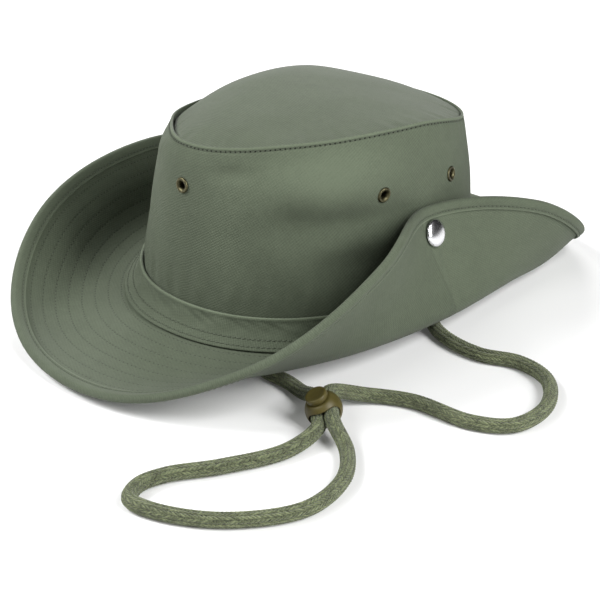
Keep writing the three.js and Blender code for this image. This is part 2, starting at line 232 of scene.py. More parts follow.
def turn_between(angle: Array, other: float) -> Array:
    """Difference of angles in degrees, between -180 and 180."""
    return (angle - other + 540) % 360 - 180


def whole_turn(columns: int) -> Array:
    """Angles from the front round to the front again, one more than the columns."""
    return np.linspace(FRONT, FRONT + 360, columns + 1)


def stitch_angles(count: int) -> Array:
    """Angles of a row of evenly spaced stitches round the hat."""
    return (np.arange(count) + 0.5) / count * 360


def arc(centre: Pair, radii: Pair, angles: Array) -> list[Pair]:
    """Points (r + R cos a, h + H sin a) of an ellipse in a turned shape's profile.

    Args:
        centre: r and h, the ellipse's middle.
        radii: R and H, its half widths.
        angles: the angles a in degrees, in the profile's order.

    Returns:
        Radius and height pairs.
    """
    turns = np.radians(angles)
    (r, h), (across, up) = centre, radii
    return list(zip(r + across * np.cos(turns), h + up * np.sin(turns)))


def around(rows: Sequence[Any], column: str, angle: Array) -> Array:
    """A table's column at angles, by a periodic Catmull-Rom curve through its rows.

    With a, b, c, d the four nearest rows and t the share of the way from b to c, the value is
    b + (c - a) t / 2 + (2a - 5b + 4c - d) t^2 / 2 + (3b - a - 3c + d) t^3 / 2.

    Args:
        rows: sections evenly spaced round the hat, the first at -90 degrees.
        column: the name of the column.
        angle: angles in degrees.

    Returns:
        The column's value at each angle.
    """
    values = np.array([getattr(row, column) for row in rows], float)
    place = ((angle - FRONT) / 360 % 1) * len(values)
    row = np.floor(place).astype(int)
    t = place - row
    a, b, c, d = (values[(row + k) % len(values)] for k in (-1, 0, 1, 2))
    bend = (2 * a - 5 * b + 4 * c - d) * t**2 + (3 * b - a - 3 * c + d) * t**3
    return 0.5 * (2 * b + (c - a) * t + bend)


def spots(places: Sequence[WallSpot], angle: Array, level: Array) -> Array:
    """Sum over the wall's spots of strength exp(-(sideways^2 + upwards^2)).

    Args:
        places: the spots.
        angle: angles in degrees.
        level: heights as shares of the wall's height.

    Returns:
        The sum at each angle and level.
    """
    total = np.zeros(np.broadcast(angle, level).shape)
    for spot in places:
        sideways = turn_between(angle, spot.at) / spot.half_angle
        upwards = (level - spot.level) / spot.half_level
        total += spot.strength * np.exp(-(sideways**2 + upwards**2))
    return total


def ripple(angle: Array, gathers: Gathers) -> Array:
    """Uneven ripple round the hat: the mean of sines with whole numbers of waves.

    Args:
        angle: angles in degrees.
        gathers: the sines' waves, and the seed of their phases and weights.

    Returns:
        The ripple at each angle, about -1 to 1.
    """
    draw = np.random.default_rng(gathers.seed)
    count = len(gathers.waves)
    phase = draw.uniform(0, 2 * math.pi, count)
    weight = draw.uniform(0.6, 1.0, count)
    turns = np.radians(angle)[..., None] * np.array(gathers.waves) + phase
    return (np.sin(turns) * weight).sum(-1) / weight.sum() * 1.6


# Meshes


def closed_rows(maps: dict[str, Array]) -> dict[str, Array]:
    """UV maps of a section that closes on itself: each repeats its first row at its end."""
    return {name: np.vstack([grid, grid[:1]]) for name, grid in maps.items()}


@dataclass
class Shell:
    """Closed surface on a grid: rows go along or round a section, columns go round an axis.

    The columns are always closed. The rows are closed too, or end in two poles.
    """

    name: str
    points: Array
    maps: dict[str, Array] = field(default_factory=dict)
    poles: tuple[Array, Array] | None = None

    def _corners(self) -> tuple[Array, Array]:
        """Row and column of each quad's four corners, not yet wrapped.

        Returns:
            The rows and the columns, four for each quad.
        """
        rows, columns = self.points.shape[:2]
        bands = rows - 1 if self.poles is not None else rows
        r, c = np.meshgrid(np.arange(bands), np.arange(columns), indexing="ij")
        row = np.stack([r, r, r + 1, r + 1], -1).reshape(-1, 4)
        column = np.stack([c, c + 1, c + 1, c], -1).reshape(-1, 4)
        return row, column

    def _fans(self) -> tuple[Array, Array, Array]:
        """Vertex numbers, rows and columns of the triangles that close the two poles.

        Returns:
            The vertex numbers, rows and columns, three for each triangle.
        """
        rows, columns = self.points.shape[:2]
        c = np.arange(columns)
        after = c + 1
        first = rows * columns
        near = np.stack([np.full(columns, first), after % columns, c], -1)
        base = (rows - 1) * columns
        far = np.stack([np.full(columns, first + 1), base + c, base + after % columns], -1)
        row = np.repeat([[0, 0, 0], [rows - 1] * 3], columns, axis=0)
        column = np.concatenate([np.stack([c, after, c], -1), np.stack([c, c, after], -1)])
        return np.concatenate([near, far]), row, column

    def build(self) -> bpy.types.Object:
        """Makes the mesh, shaded smooth, its UV maps and its object.

        Returns:
            The object, at the origin, with its faces pointing outwards.
        """
        rows, columns = self.points.shape[:2]
        points = self.points.reshape(-1, 3)
        row, column = self._corners()
        quads = (row % rows) * columns + column % columns
        a, b, c, d = (points[quads[:, k]] for k in range(4))
        volume = (a * np.cross(b, c)).sum() + (a * np.cross(c, d)).sum()
        faces = quads.tolist()
        corner_rows, corner_columns = [row.ravel()], [column.ravel()]
        if self.poles is not None:
            fans, fan_rows, fan_columns = self._fans()
            points = np.vstack([points, *self.poles])
            e, f, g = (points[fans[:, k]] for k in range(3))
            volume += (e * np.cross(f, g)).sum()
            faces += fans.tolist()
            corner_rows.append(fan_rows.ravel())
            corner_columns.append(fan_columns.ravel())
        mesh = bpy.data.meshes.new(self.name)
        mesh.from_pydata((points + HEAD_PLACE).tolist(), [], faces)
        for name, grid in self.maps.items():
            corners = grid[np.concatenate(corner_rows), np.concatenate(corner_columns)]
            mesh.uv_layers.new(name=name).data.foreach_set("uv", corners.astype(np.float32).ravel())
        mesh.polygons.foreach_set("use_smooth", np.full(len(faces), True))
        if volume < 0:
            mesh.flip_normals()
        mesh.update()
        mesh.validate()
        return placed(self.name, mesh)


def placed(name: str, mesh: bpy.types.Mesh) -> bpy.types.Object:
    """Puts a mesh in the scene as an object at the origin.

    Args:
        name: the object's name.
        mesh: the mesh, in the row frame.

    Returns:
        The new object.
    """
    piece = bpy.data.objects.new(name, mesh)
    bpy.context.scene.collection.objects.link(piece)
    return piece


def turned(name: str, profile: Sequence[Pair], frame_of: tuple[Array, Array],
           sides: int = 64) -> Shell:
    """Closed turned shape: each profile point (r, h) becomes centre + r round the axis + h along it.

    Args:
        name: the shape's name.
        profile: radius and height pairs. It closes on itself, or starts and ends on the axis.
        frame_of: the centre, and the axes as the rows of a 3 by 3 array, the last the shape's own.
        sides: facets round the axis.

    Returns:
        The shape.
    """
    centre, (x_axis, y_axis, axis) = frame_of
    pairs = np.array(profile, float)
    on_axis = pairs[0, 0] == 0 and pairs[-1, 0] == 0
    poles = None
    if on_axis:
        poles = tuple((centre + axis * h)[None] for h in (pairs[0, 1], pairs[-1, 1]))
        pairs = pairs[1:-1]
    turn = np.linspace(0, 2 * math.pi, sides, endpoint=False)
    spoke = np.cos(turn)[:, None] * x_axis + np.sin(turn)[:, None] * y_axis
    points = centre + pairs[:, 0, None, None] * spoke + pairs[:, 1, None, None] * axis
    return Shell(name, points, poles=poles)


def axes_along(axis: Array) -> Array:
    """Three square axes, as rows, of which the last runs along a direction.

    Args:
        axis: the direction.

    Returns:
        The axes, as a 3 by 3 array.
    """
    w = unit(axis)
    u = unit(np.cross(UP if abs(w[2]) < 0.9 else np.array((1.0, 0.0, 0.0)), w))
    return np.stack([u, np.cross(w, u), w])


def apply_modifiers(piece: bpy.types.Object) -> None:
    """Replaces a piece's mesh by what its modifiers make of it, and drops the modifiers.

    Args:
        piece: the piece.
    """
    bpy.context.view_layer.update()
    graph = bpy.context.evaluated_depsgraph_get()
    done = bpy.data.meshes.new_from_object(piece.evaluated_get(graph))
    piece.modifiers.clear()
    piece.data = done
    done.name = piece.name


def cut_by(piece: bpy.types.Object, cutters: Sequence[bpy.types.Object]) -> None:
    """Cuts closed shapes out of a piece and removes them.

    Args:
        piece: the piece to cut.
        cutters: closed shapes to take away from it.
    """
    for cutter in cutters:
        step = piece.modifiers.new("cut", "BOOLEAN")
        step.operation = "DIFFERENCE"
        step.solver = "EXACT"
        step.object = cutter
    apply_modifiers(piece)
    for cutter in cutters:
        bpy.data.objects.remove(cutter)


@dataclass
class SewnRow:
    """Rows of stitches: each is a short bowed thread between two needle holes."""

    length: float = 2.2 * MM
    width: float = 0.62 * MM
    rise: float = 0.22 * MM
    sides: int = 5

    def _template(self) -> Array:
        """One stitch: three rings of points and two ends, x along, y across and z up.

        A ring at share t of the half length has radius r (1 - t^2 / 2) and height rise (1 - t^2).

        Returns:
            The stitch's points.
        """
        shares = np.array((-0.6, 0.0, 0.6))
        turn = np.linspace(0, 2 * math.pi, self.sides, endpoint=False)
        radius = self.width / 2 * (1 - 0.5 * shares**2)
        lift = self.rise * (1 - shares**2)
        x = np.repeat(shares * self.length / 2, self.sides)
        y = (radius[:, None] * np.cos(turn)).ravel()
        z = (radius[:, None] * np.sin(turn) + lift[:, None]).ravel()
        ends = np.array([[-self.length / 2, 0, -self.rise], [self.length / 2, 0, -self.rise]])
        return np.vstack([np.stack([x, y, z], -1), ends])

    def _faces(self) -> list[list[int]]:
        """Faces of one stitch.

        Returns:
            Vertex numbers of each face, quads and triangles.
        """
        n = self.sides
        faces = []
        for k in range(n):
            after = (k + 1) % n
            faces += [[ring + k, ring + after, ring + n + after, ring + n + k] for ring in (0, n)]
            faces += [[3 * n, after, k], [3 * n + 1, 2 * n + k, 2 * n + after]]
        return faces

    def build(self, name: str, centres: Array, forward: Array, above: Array) -> bpy.types.Object:
        """Makes all the stitches as one mesh.

        Args:
            name: the piece's name.
            centres: middle of each stitch, on the cloth.
            forward: direction of each stitch.
            above: direction away from the cloth.

        Returns:
            The object.
        """
        shape = self._template()
        t = unit(forward)
        b = unit(np.cross(above, t))
        n = np.cross(t, b)
        spread = (shape[:, 0, None, None] * t + shape[:, 1, None, None] * b
                  + shape[:, 2, None, None] * n)
        points = (centres + spread).transpose(1, 0, 2).reshape(-1, 3) + HEAD_PLACE
        starts = np.arange(len(centres)) * len(shape)
        quads = np.array([f for f in self._faces() if len(f) == 4])
        fans = np.array([f for f in self._faces() if len(f) == 3])
        faces = (quads + starts[:, None, None]).reshape(-1, 4).tolist()
        faces += (fans + starts[:, None, None]).reshape(-1, 3).tolist()
        mesh = bpy.data.meshes.new(name)
        mesh.from_pydata(points.tolist(), [], faces)
        mesh.polygons.foreach_set("use_smooth", np.full(len(faces), True))
        middle = points[:len(shape)].mean(0)
        e, f, g = (points[fans[:, k]] - middle for k in range(3))
        if (e * np.cross(f, g)).sum() < 0:
            mesh.flip_normals()
        mesh.update()
        return placed(name, mesh)


# Shader nodes

Value = Union["Wire", float, Sequence[float]]


class Wire:
    """One output socket of a node tree, with operators that add Math nodes."""

    def __init__(self, bench: "Bench", socket: bpy.types.NodeSocket) -> None:
        """Keeps the socket and the tree it belongs to."""
        self.bench = bench
        self.socket = socket

    def math(self, operation: str, *others: Value) -> "Wire":
        """A Math node on this value and others."""
        return self.bench.math(operation, self, *others)

    def __add__(self, other: Value) -> "Wire":
        """The sum."""
        return self.math("ADD", other)

    def __sub__(self, other: Value) -> "Wire":
        """The difference."""
        return self.math("SUBTRACT", other)

    def __rsub__(self, other: Value) -> "Wire":
        """The difference, this value taken away."""
        return self.bench.math("SUBTRACT", other, self)

    def __mul__(self, other: Value) -> "Wire":
        """The product."""
        return self.math("MULTIPLY", other)

    __radd__ = __add__
    __rmul__ = __mul__


class Bench:
    """A material and the one method that adds any node to its tree."""

    def __init__(self, name: str) -> None:
        """Starts an empty material.

        Args:
            name: the material's name.
        """
        self.material = bpy.data.materials.new(name)
        self.material.use_nodes = True
        self.tree = self.material.node_tree
        self.tree.nodes.clear()

    def node(self, kind: str, settings: dict[str, Any] | None = None,
             sockets: dict[str | int, Value] | None = None, output: str | int = 0) -> Wire:
        """Adds a node.

        Args:
            kind: the node's type.
            settings: its own settings, set first. stops is a colour ramp's list of stops.
            sockets: values or wires of its inputs, by name or number.
            output: which output is wanted.

        Returns:
            The wire of that output.
        """
        made = self.tree.nodes.new(kind)
        for key, value in (settings or {}).items():
            if key == "stops":
                ramp = made.color_ramp
                while len(ramp.elements) < len(value):
                    ramp.elements.new(0.5)
                for stop, (place, colour) in zip(ramp.elements, value):
                    stop.position = place
                    stop.color = (*colour, 1.0)
            else:
                setattr(made, key, value)
        for key, value in (sockets or {}).items():
            if isinstance(value, Wire):
                self.tree.links.new(value.socket, made.inputs[key])
            elif isinstance(value, (tuple, list)) and made.inputs[key].type == "RGBA":
                made.inputs[key].default_value = (*value, 1.0)
            else:
                made.inputs[key].default_value = value
        return Wire(self, made.outputs[output])

    def math(self, operation: str, *values: Value) -> Wire:
        """A Math node with its values in order."""
        return self.node("ShaderNodeMath", {"operation": operation}, dict(enumerate(values)))

    def fade(self, value: Wire, low: float, high: float) -> Wire:
        """Smooth fall of a value's mask from 1 at low to 0 at high."""
        return self.node("ShaderNodeMapRange", {"interpolation_type": "SMOOTHSTEP"},
                         {0: value, 1: low, 2: high, 3: 1.0, 4: 0.0})

    def mix(self, share: Value, first: Value, second: Value) -> Wire:
        """Mix of two colours by a share."""
        return self.node("ShaderNodeMix", {"data_type": "RGBA"}, {0: share, 6: first, 7: second}, 2)

    def uv(self, name: str) -> tuple[Wire, Wire]:
        """The two coordinates of a UV map."""
        place = self.node("ShaderNodeUVMap", {"uv_map": name})
        return tuple(self.node("ShaderNodeSeparateXYZ", {}, {0: place}, k) for k in range(2))

    def noise(self, scale: float, detail: float = 2.0, rough: float = 0.5) -> Wire:
        """Noise on Object coordinates, with about scale lumps to the metre.

        Args:
            scale: lumps to the metre.
            detail: how many finer layers it has.
            rough: how strong each finer layer is.

        Returns:
            The noise, about 0 to 1.
        """
        place = self.node("ShaderNodeTexCoord", output="Object")
        return self.node("ShaderNodeTexNoise", {},
                         {"Vector": place, "Scale": scale, "Detail": detail, "Roughness": rough})

    def bump(self, height: Wire, distance: float, strength: float = 1.0,
             onto: Wire | None = None) -> Wire:
        """A Bump node, on top of another where given.

        Args:
            height: height of the relief, about 0 to 1.
            distance: what a height of 1 stands for.
            strength: how strongly the relief shows.
            onto: the bump that it is laid on.

        Returns:
            The wire of the bent normal.
        """
        sockets = {"Height": height, "Distance": distance, "Strength": strength}
        if onto is not None:
            sockets["Normal"] = onto
        return self.node("ShaderNodeBump", {}, sockets)

    def surface(self, sockets: dict[str, Value]) -> bpy.types.Material:
        """Ends the tree in a Principled shader with these sockets, and gives the material.

        Args:
            sockets: values or wires of the shader's inputs, by name.

        Returns:
            The material.
        """
        shader = self.node("ShaderNodeBsdfPrincipled", {}, sockets)
        end = self.tree.nodes.new("ShaderNodeOutputMaterial")
        self.tree.links.new(shader.socket, end.inputs["Surface"])
        return self.material


def from_screen(red: int, green: int, blue: int) -> Colour:
    """Linear colour of a screen colour: ((v + 0.055) / 1.055)^2.4 of each share v of 255."""
    return tuple(((v / 255 + 0.055) / 1.055) ** 2.4 for v in (red, green, blue))


def scaled(colour: Colour, share: float) -> Colour:
    """A colour made lighter or darker."""
    return tuple(part * share for part in colour)


EXPOSURE = 1 / 2.75
SAGE = scaled(from_screen(124, 135, 113), EXPOSURE)


# Finishes


class Slot(Enum):
    """The record's material slots."""

    CLOTH = "cloth"
    CORD = "cord"
    TOGGLE = "toggle_plastic"
    EYELET = "eyelet_metal"
    SNAP = "snap_metal"


class WeaveMap(Enum):
    """Where a cloth's weave takes its place from."""

    CLOTH = "weave"
    PLAN = "plan"


@dataclass(frozen=True)
class SewingMarks:
    """Needle holes of rows of stitches, on the UV map of turn and distance along the cloth.

    Row k lies at first + k pitch and has stitches + k more stitches in one turn.
    """

    first: float
    pitch: float
    rows: int
    stitches: int
    more: int = 0
    hole: float = 0.42 * MM
    stitch: float = 2.9 * MM
    depth: float = 0.8
    line: float = 0.25
    press: float = 1.0
    below: float = 1.0
    line_core: float = 0.15 * MM
    line_edge: float = 0.75 * MM

    def masks(self, bench: Bench) -> tuple[Wire, Wire]:
        """Masks of the holes and of the line that joins them.

        The nearest row is the rounded (along - first) / pitch. A hole lies where turn times the
        row's stitches is a whole number.

        Args:
            bench: the material's tree.

        Returns:
            The two masks, 1 on a hole and on the line.
        """
        turn, along = bench.uv("seam")
        row = ((along - self.first) * (1 / self.pitch)).math("ROUND").math("MAXIMUM", 0.0)
        row = row.math("MINIMUM", float(self.rows - 1))
        across = (along - self.first - row * self.pitch).math("ABSOLUTE")
        phase = (turn * (row * float(self.more) + float(self.stitches))).math("FRACT")
        forward = phase.math("MINIMUM", 1.0 - phase) * self.stitch
        reach = (across * across + forward * forward).math("SQRT")
        holes = bench.fade(reach, self.hole * 0.55, self.hole)
        line = bench.fade(across, self.line_core, self.line_edge)
        if self.below == 1.0:
            return holes, line
        face, _ = bench.uv("face")
        share = face * (1 - self.below) + self.below
        return holes * share, line * share


@dataclass(frozen=True)
class Join:
    """A join across the brim: its angle, its lean, and how much lighter the cloth behind it is.

    It crosses its angle at the distance pivot along the cloth.
    """

    at: float
    lean: float
    lighter: float = 0.0
    pivot: float = 31 * MM


@dataclass(frozen=True)
class TwillFinish:
    """Cotton twill: slanting ribs, broken along their length, under fine fluff and soft mottling.

    The shades are shares of the cloth's colour: of the weave's valleys and crests, of needle
    holes and the lines between them, of a join's fold, and of edges lightened partly by wear and
    partly as a painted highlight. Spots of painted light and shade can lighten and darken it too.
    """

    name: str
    colour: Colour
    weave: WeaveMap = WeaveMap.CLOTH
    rib_pitch: float = 1.3 * MM
    rib_slant: float = 32.0
    rib_contrast: float = 0.36
    fluff_contrast: float = 0.5
    mottle_contrast: float = 0.3
    cloud_contrast: float = 0.22
    valley: float = 0.62
    crest: float = 1.38
    hole_shade: float = 0.12
    line_shade: float = 0.45
    fold_shade: float = 0.35
    # Share for the lightened edges: partly wear, partly a painted highlight.
    edge_wear_and_highlight: float = 1.9
    join_shade: float = 2.0
    folds: float = 1.8 * MM
    grain: float = 0.28 * MM
    # Strength of the painted light and shade from the wall's spots.
    worn: float = 0.0
    sewing: tuple[SewingMarks, ...] = ()
    joins: tuple[Join, ...] = ()
    # Places and half widths of edges lightened partly by wear, partly as a painted highlight.
    worn_and_highlit_edges: tuple[Pair, ...] = ()

    def _rib(self, bench: Bench, fluff: Wire) -> Wire:
        """Height of the ribs: (1 + sin(2 pi d / pitch)) / 2 over the distance d across them.

        Args:
            bench: the material's tree.
            fluff: noise that shifts the ribs.

        Returns:
            The height, 0 to 1.
        """
        if self.weave is WeaveMap.PLAN:
            place = bench.node("ShaderNodeTexCoord", output="Object")
            x, y = (bench.node("ShaderNodeSeparateXYZ", {}, {0: place}, k) for k in range(2))
        else:
            x, y = bench.uv("weave")
        slant = math.radians(self.rib_slant)
        wave = 2 * math.pi / self.rib_pitch
        across = x * (math.cos(slant) * wave) + y * (-math.sin(slant) * wave)
        forward = x * (math.sin(slant) * wave * 0.8) + y * (math.cos(slant) * wave * 0.8)
        rib = (across + (fluff - 0.5) * 2.6).math("SINE") * 0.5 + 0.5
        breaks = (forward + (fluff - 0.5) * 3.4).math("SINE") * 0.5 + 0.5
        return rib * 0.68 + breaks * 0.32

    def material(self) -> bpy.types.Material:
        """Makes the cloth's material.

        Returns:
            The material.
        """
        bench = Bench(self.name)
        fluff = bench.noise(820, 3.0, 0.65)
        mottle = bench.noise(42, 3.0, 0.55)
        cloud = bench.noise(240, 2.0, 0.5)
        rib = self._rib(bench, bench.noise(520, 2.0))
        share = ((rib - 0.5) * self.rib_contrast + (fluff - 0.5) * self.fluff_contrast
                 + (mottle - 0.5) * self.mottle_contrast + (cloud - 0.5) * self.cloud_contrast + 0.5)
        # Painted light and shade: spots that lighten and darken the cloth's colour.
        if self.worn:
            share = share + bench.uv("worn")[0] * self.worn
        base = bench.mix(share, scaled(self.colour, self.valley), scaled(self.colour, self.crest))
        height = rib * 0.55 + fluff * 0.45
        for marks in self.sewing:
            holes, line = marks.masks(bench)
            base = bench.mix(line * marks.line, base, scaled(self.colour, self.line_shade))
            base = bench.mix(holes * marks.depth, base, scaled(self.colour, self.hole_shade))
            height = height - holes * (1.6 * marks.press) - line * (0.5 * marks.press)
        for join in self.joins:
            turn, along = bench.uv("seam")
            past = turn - join.at / 360 - (along - join.pivot) * join.lean
            if join.lighter:
                behind = bench.fade(past, 0.08, 0.2) - bench.fade(past, -0.001, 0.002)
                base = bench.mix(behind * join.lighter, base, scaled(self.colour, self.join_shade))
            fold = bench.fade(past.math("ABSOLUTE"), 0.0003, 0.0016)
            base = bench.mix(fold * 0.12, base, scaled(self.colour, self.fold_shade))
            height = height - fold * 0.5
        # Edges lightened partly by wear and partly as a painted highlight along their crest.
        for place, half in self.worn_and_highlit_edges:
            _, along = bench.uv("seam")
            edge = bench.fade((along - place).math("ABSOLUTE"), half * 0.35, half)
            base = bench.mix(edge * 0.5, base, scaled(self.colour, self.edge_wear_and_highlight))
        soft = bench.bump(bench.noise(30, 1.0, 0.4), self.folds, 0.6)
        rough = 0.84 + (mottle - 0.5) * 0.1
        return bench.surface({
            "Base Color": base,
            "Roughness": rough,
            "Normal": bench.bump(height, self.grain, 0.75, soft),
            "Sheen Weight": 0.06,
            "Sheen Roughness": 0.5,
            "Specular IOR Level": 0.1,
        })


@dataclass(frozen=True)
class ThreadFinish:
    """Sewing thread: a little smoother than the cloth, with a fine twist."""

    name: str
    colour: Colour

    def material(self) -> bpy.types.Material:
        """Makes the thread's material.

        Returns:
            The material.
        """
        bench = Bench(self.name)
        twist = bench.noise(3200, 1.0)
        base = bench.mix(twist, scaled(self.colour, 0.7), scaled(self.colour, 1.3))
        return bench.surface({
            "Base Color": base,
            "Roughness": 0.7 + (twist - 0.5) * 0.2,
            "Normal": bench.bump(twist, 0.1 * MM, 0.5),
            "Specular IOR Level": 0.3,
        })


@dataclass(frozen=True)
class Plaiting:
    """Columns of slanting plaits round a cord, each column leaning the other way.

    In column k, with u from -1/2 to 1/2 across it, a plait repeats over v = along / pitch
    + lean u (-1)^k + k / 2. With f from -1/2 to 1/2 its height is
    sqrt(1 - (1.9 f)^2) (1 - (1.7 u)^4), so its ends dip under the next column.
    """

    columns: int = 12
    pitch: float = 2.1 * MM
    lean: float = 1.5

    def heights(self, turn: Array, along: Array) -> Array:
        """Height of the plaits, 0 to 1, over the share of a turn and the distance along.

        Args:
            turn: shares of a turn round the cord.
            along: distances along it.

        Returns:
            The heights.
        """
        place = turn * self.columns
        column = np.floor(place)
        across = place - column - 0.5
        side = np.where(column % 2 == 0, 1.0, -1.0)
        row = along / self.pitch + side * self.lean * across + column * 0.5
        within = row - np.floor(row) - 0.5
        return np.sqrt(np.maximum(1 - (1.9 * within) ** 2, 0)) * (1 - np.minimum((1.7 * across) ** 4, 1))

    def wires(self, bench: Bench, drift: Wire) -> tuple[Wire, Wire]:
        """The same height in the shader, and a chance value for each plait.

        Args:
            bench: the material's tree.
            drift: noise that shifts the plaits a little.

        Returns:
            The height and the chance value, both 0 to 1.
        """
        turn, along = bench.uv("braid")
        place = turn * float(self.columns)
        column = place.math("FLOOR")
        across = place - column - 0.5
        side = 1.0 - column.math("FLOORED_MODULO", 2.0) * 2.0
        row = along * (1 / self.pitch) + side * across * self.lean + column * 0.5 + (drift - 0.5) * 0.9
        number = row.math("FLOOR")
        within = (row - number - 0.5) * 1.9
        edge = (across * 1.7).math("POWER", 4.0).math("MINIMUM", 1.0)
        height = (1.0 - within * within).math("MAXIMUM", 0.0).math("SQRT") * (1.0 - edge)
        cell = bench.node("ShaderNodeCombineXYZ", {}, {0: column, 1: number})
        chance = bench.node("ShaderNodeTexWhiteNoise", {"noise_dimensions": "2D"}, {"Vector": cell})
        return height, chance


@dataclass(frozen=True)
class BraidFinish:
    """Braided yarn: painted shade between the plaits, partly painted highlight on them, fibres along the
    cord.
    """

    name: str
    # The first colour is the plaits' own colour with a painted highlight, the second painted shade
    # between them.
    light: Colour
    painted_gap_shade: Colour
    plaiting: Plaiting

    def material(self) -> bpy.types.Material:
        """Makes the braid's material.

        Returns:
            The material.
        """
        bench = Bench(self.name)
        fibre = bench.noise(950, 3.0, 0.7)
        drift = bench.noise(210, 2.0)
        height, chance = self.plaiting.wires(bench, drift)
        # The plaits' tops take a painted highlight and the gaps between them painted shade.
        share = height * (0.45 + chance * 0.5) + (fibre - 0.5) * 1.7
        base = bench.mix(share.math("MAXIMUM", 0.0).math("MINIMUM", 1.0), self.painted_gap_shade, self.light)
        return bench.surface({
            "Base Color": base,
            "Roughness": 0.86 + (fibre - 0.5) * 0.1,
            "Normal": bench.bump(height + fibre * 0.5, 0.7 * MM, 1.0),
            "Sheen Weight": 0.2,
            "Sheen Roughness": 0.5,
            "Specular IOR Level": 0.2,
        })


@dataclass(frozen=True)
class MouldedFinish:
    """Moulded plastic with a faint sand-blasted grain and handling marks."""

    name: str
    colour: Colour
    roughness: float

    def material(self) -> bpy.types.Material:
        """Makes the plastic's material.

        Returns:
            The material.
        """
        bench = Bench(self.name)
        grain = bench.noise(2400, 2.0)
        flow = bench.noise(170, 3.0, 0.6)
        base = bench.mix(flow, scaled(self.colour, 0.75), scaled(self.colour, 1.3))
        return bench.surface({
            "Base Color": base,
            "Roughness": self.roughness + (flow - 0.5) * 0.25,
            "Normal": bench.bump(grain * 0.4 + flow * 0.6, 0.12 * MM, 0.5),
            "Specular IOR Level": 0.28,
        })


@dataclass(frozen=True)
class MetalFinish:
    """Metal with cloudy tarnish, from plain polish to antique brass."""

    name: str
    bright: Colour
    tarnish: Colour
    cover: float
    roughness: float
    cloudy: float = 1.6

    def material(self) -> bpy.types.Material:
        """Makes the metal's material.

        Returns:
            The material.
        """
        bench = Bench(self.name)
        cloud = bench.noise(620, 4.0, 0.6)
        scratch = bench.noise(1900, 1.0)
        share = ((cloud - 0.5) * self.cloudy + self.cover).math("MAXIMUM", 0.0).math("MINIMUM", 1.0)
        return bench.surface({
            "Base Color": bench.mix(share, self.bright, self.tarnish),
            "Metallic": 1.0,
            "Roughness": share * 0.3 + self.roughness + (scratch - 0.5) * 0.04,
            "Normal": bench.bump(cloud * 0.5 + scratch * 0.5, 0.05 * MM, 0.18 * self.cloudy),
        })


def finish(piece: bpy.types.Object, material: bpy.types.Material, slot: Slot,
           *replaced: str) -> bpy.types.Object:
    """Dresses a piece, lets it ride on the hat and hides the CAD nodes that it stands for.

    Args:
        piece: the piece.
        material: its material.
        slot: not used.
        replaced: names of the CAD nodes that it replaces.

    Returns:
        The piece.
    """
    piece.data.materials.clear()
    piece.data.materials.append(material)
    if replaced:
        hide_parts(*replaced)
    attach(piece, BODY)
    log.info("%s: %d faces", piece.name, len(piece.data.polygons))
    return piece


THREAD = ThreadFinish("sage_thread", SAGE)


# The hat's form


@dataclass(frozen=True)
class HeadOval:
    """Superellipse of the crown's base: |x / a|^p + |y / b|^p = 1, at a height above the floor."""

    half_width: float = 84 * MM
    half_depth: float = 101 * MM
    power: float = 2.1
    height: float = 26.4 * MM

    def rim(self, angle: Array, margin: float = 0.0) -> tuple[Array, Array]:
        """Points of the oval grown by a margin, at height 0, and the directions out of it.

        x = a cos^(2/p), y = b sin^(2/p) with their signs kept, and the way out is
        (cos^(2 - 2/p) / a, sin^(2 - 2/p) / b).

        Args:
            angle: angles in degrees.
            margin: how much both half widths grow.

        Returns:
            The points and the unit directions.
        """
        a, b = self.half_width + margin, self.half_depth + margin
        c, s = np.cos(np.radians(angle)), np.sin(np.radians(angle))
        spread = 2 / self.power

        def raised(value: Array, power: float) -> Array:
            """A power that keeps the value's sign."""
            return np.sign(value) * np.abs(value) ** power

        level = np.zeros_like(c)
        points = np.stack([a * raised(c, spread), b * raised(s, spread), level], -1)
        out = np.stack([raised(c, 2 - spread) / a, raised(s, 2 - spread) / b, level], -1)
        return points, unit(out)


HEAD = HeadOval()
SAMPLES = 40


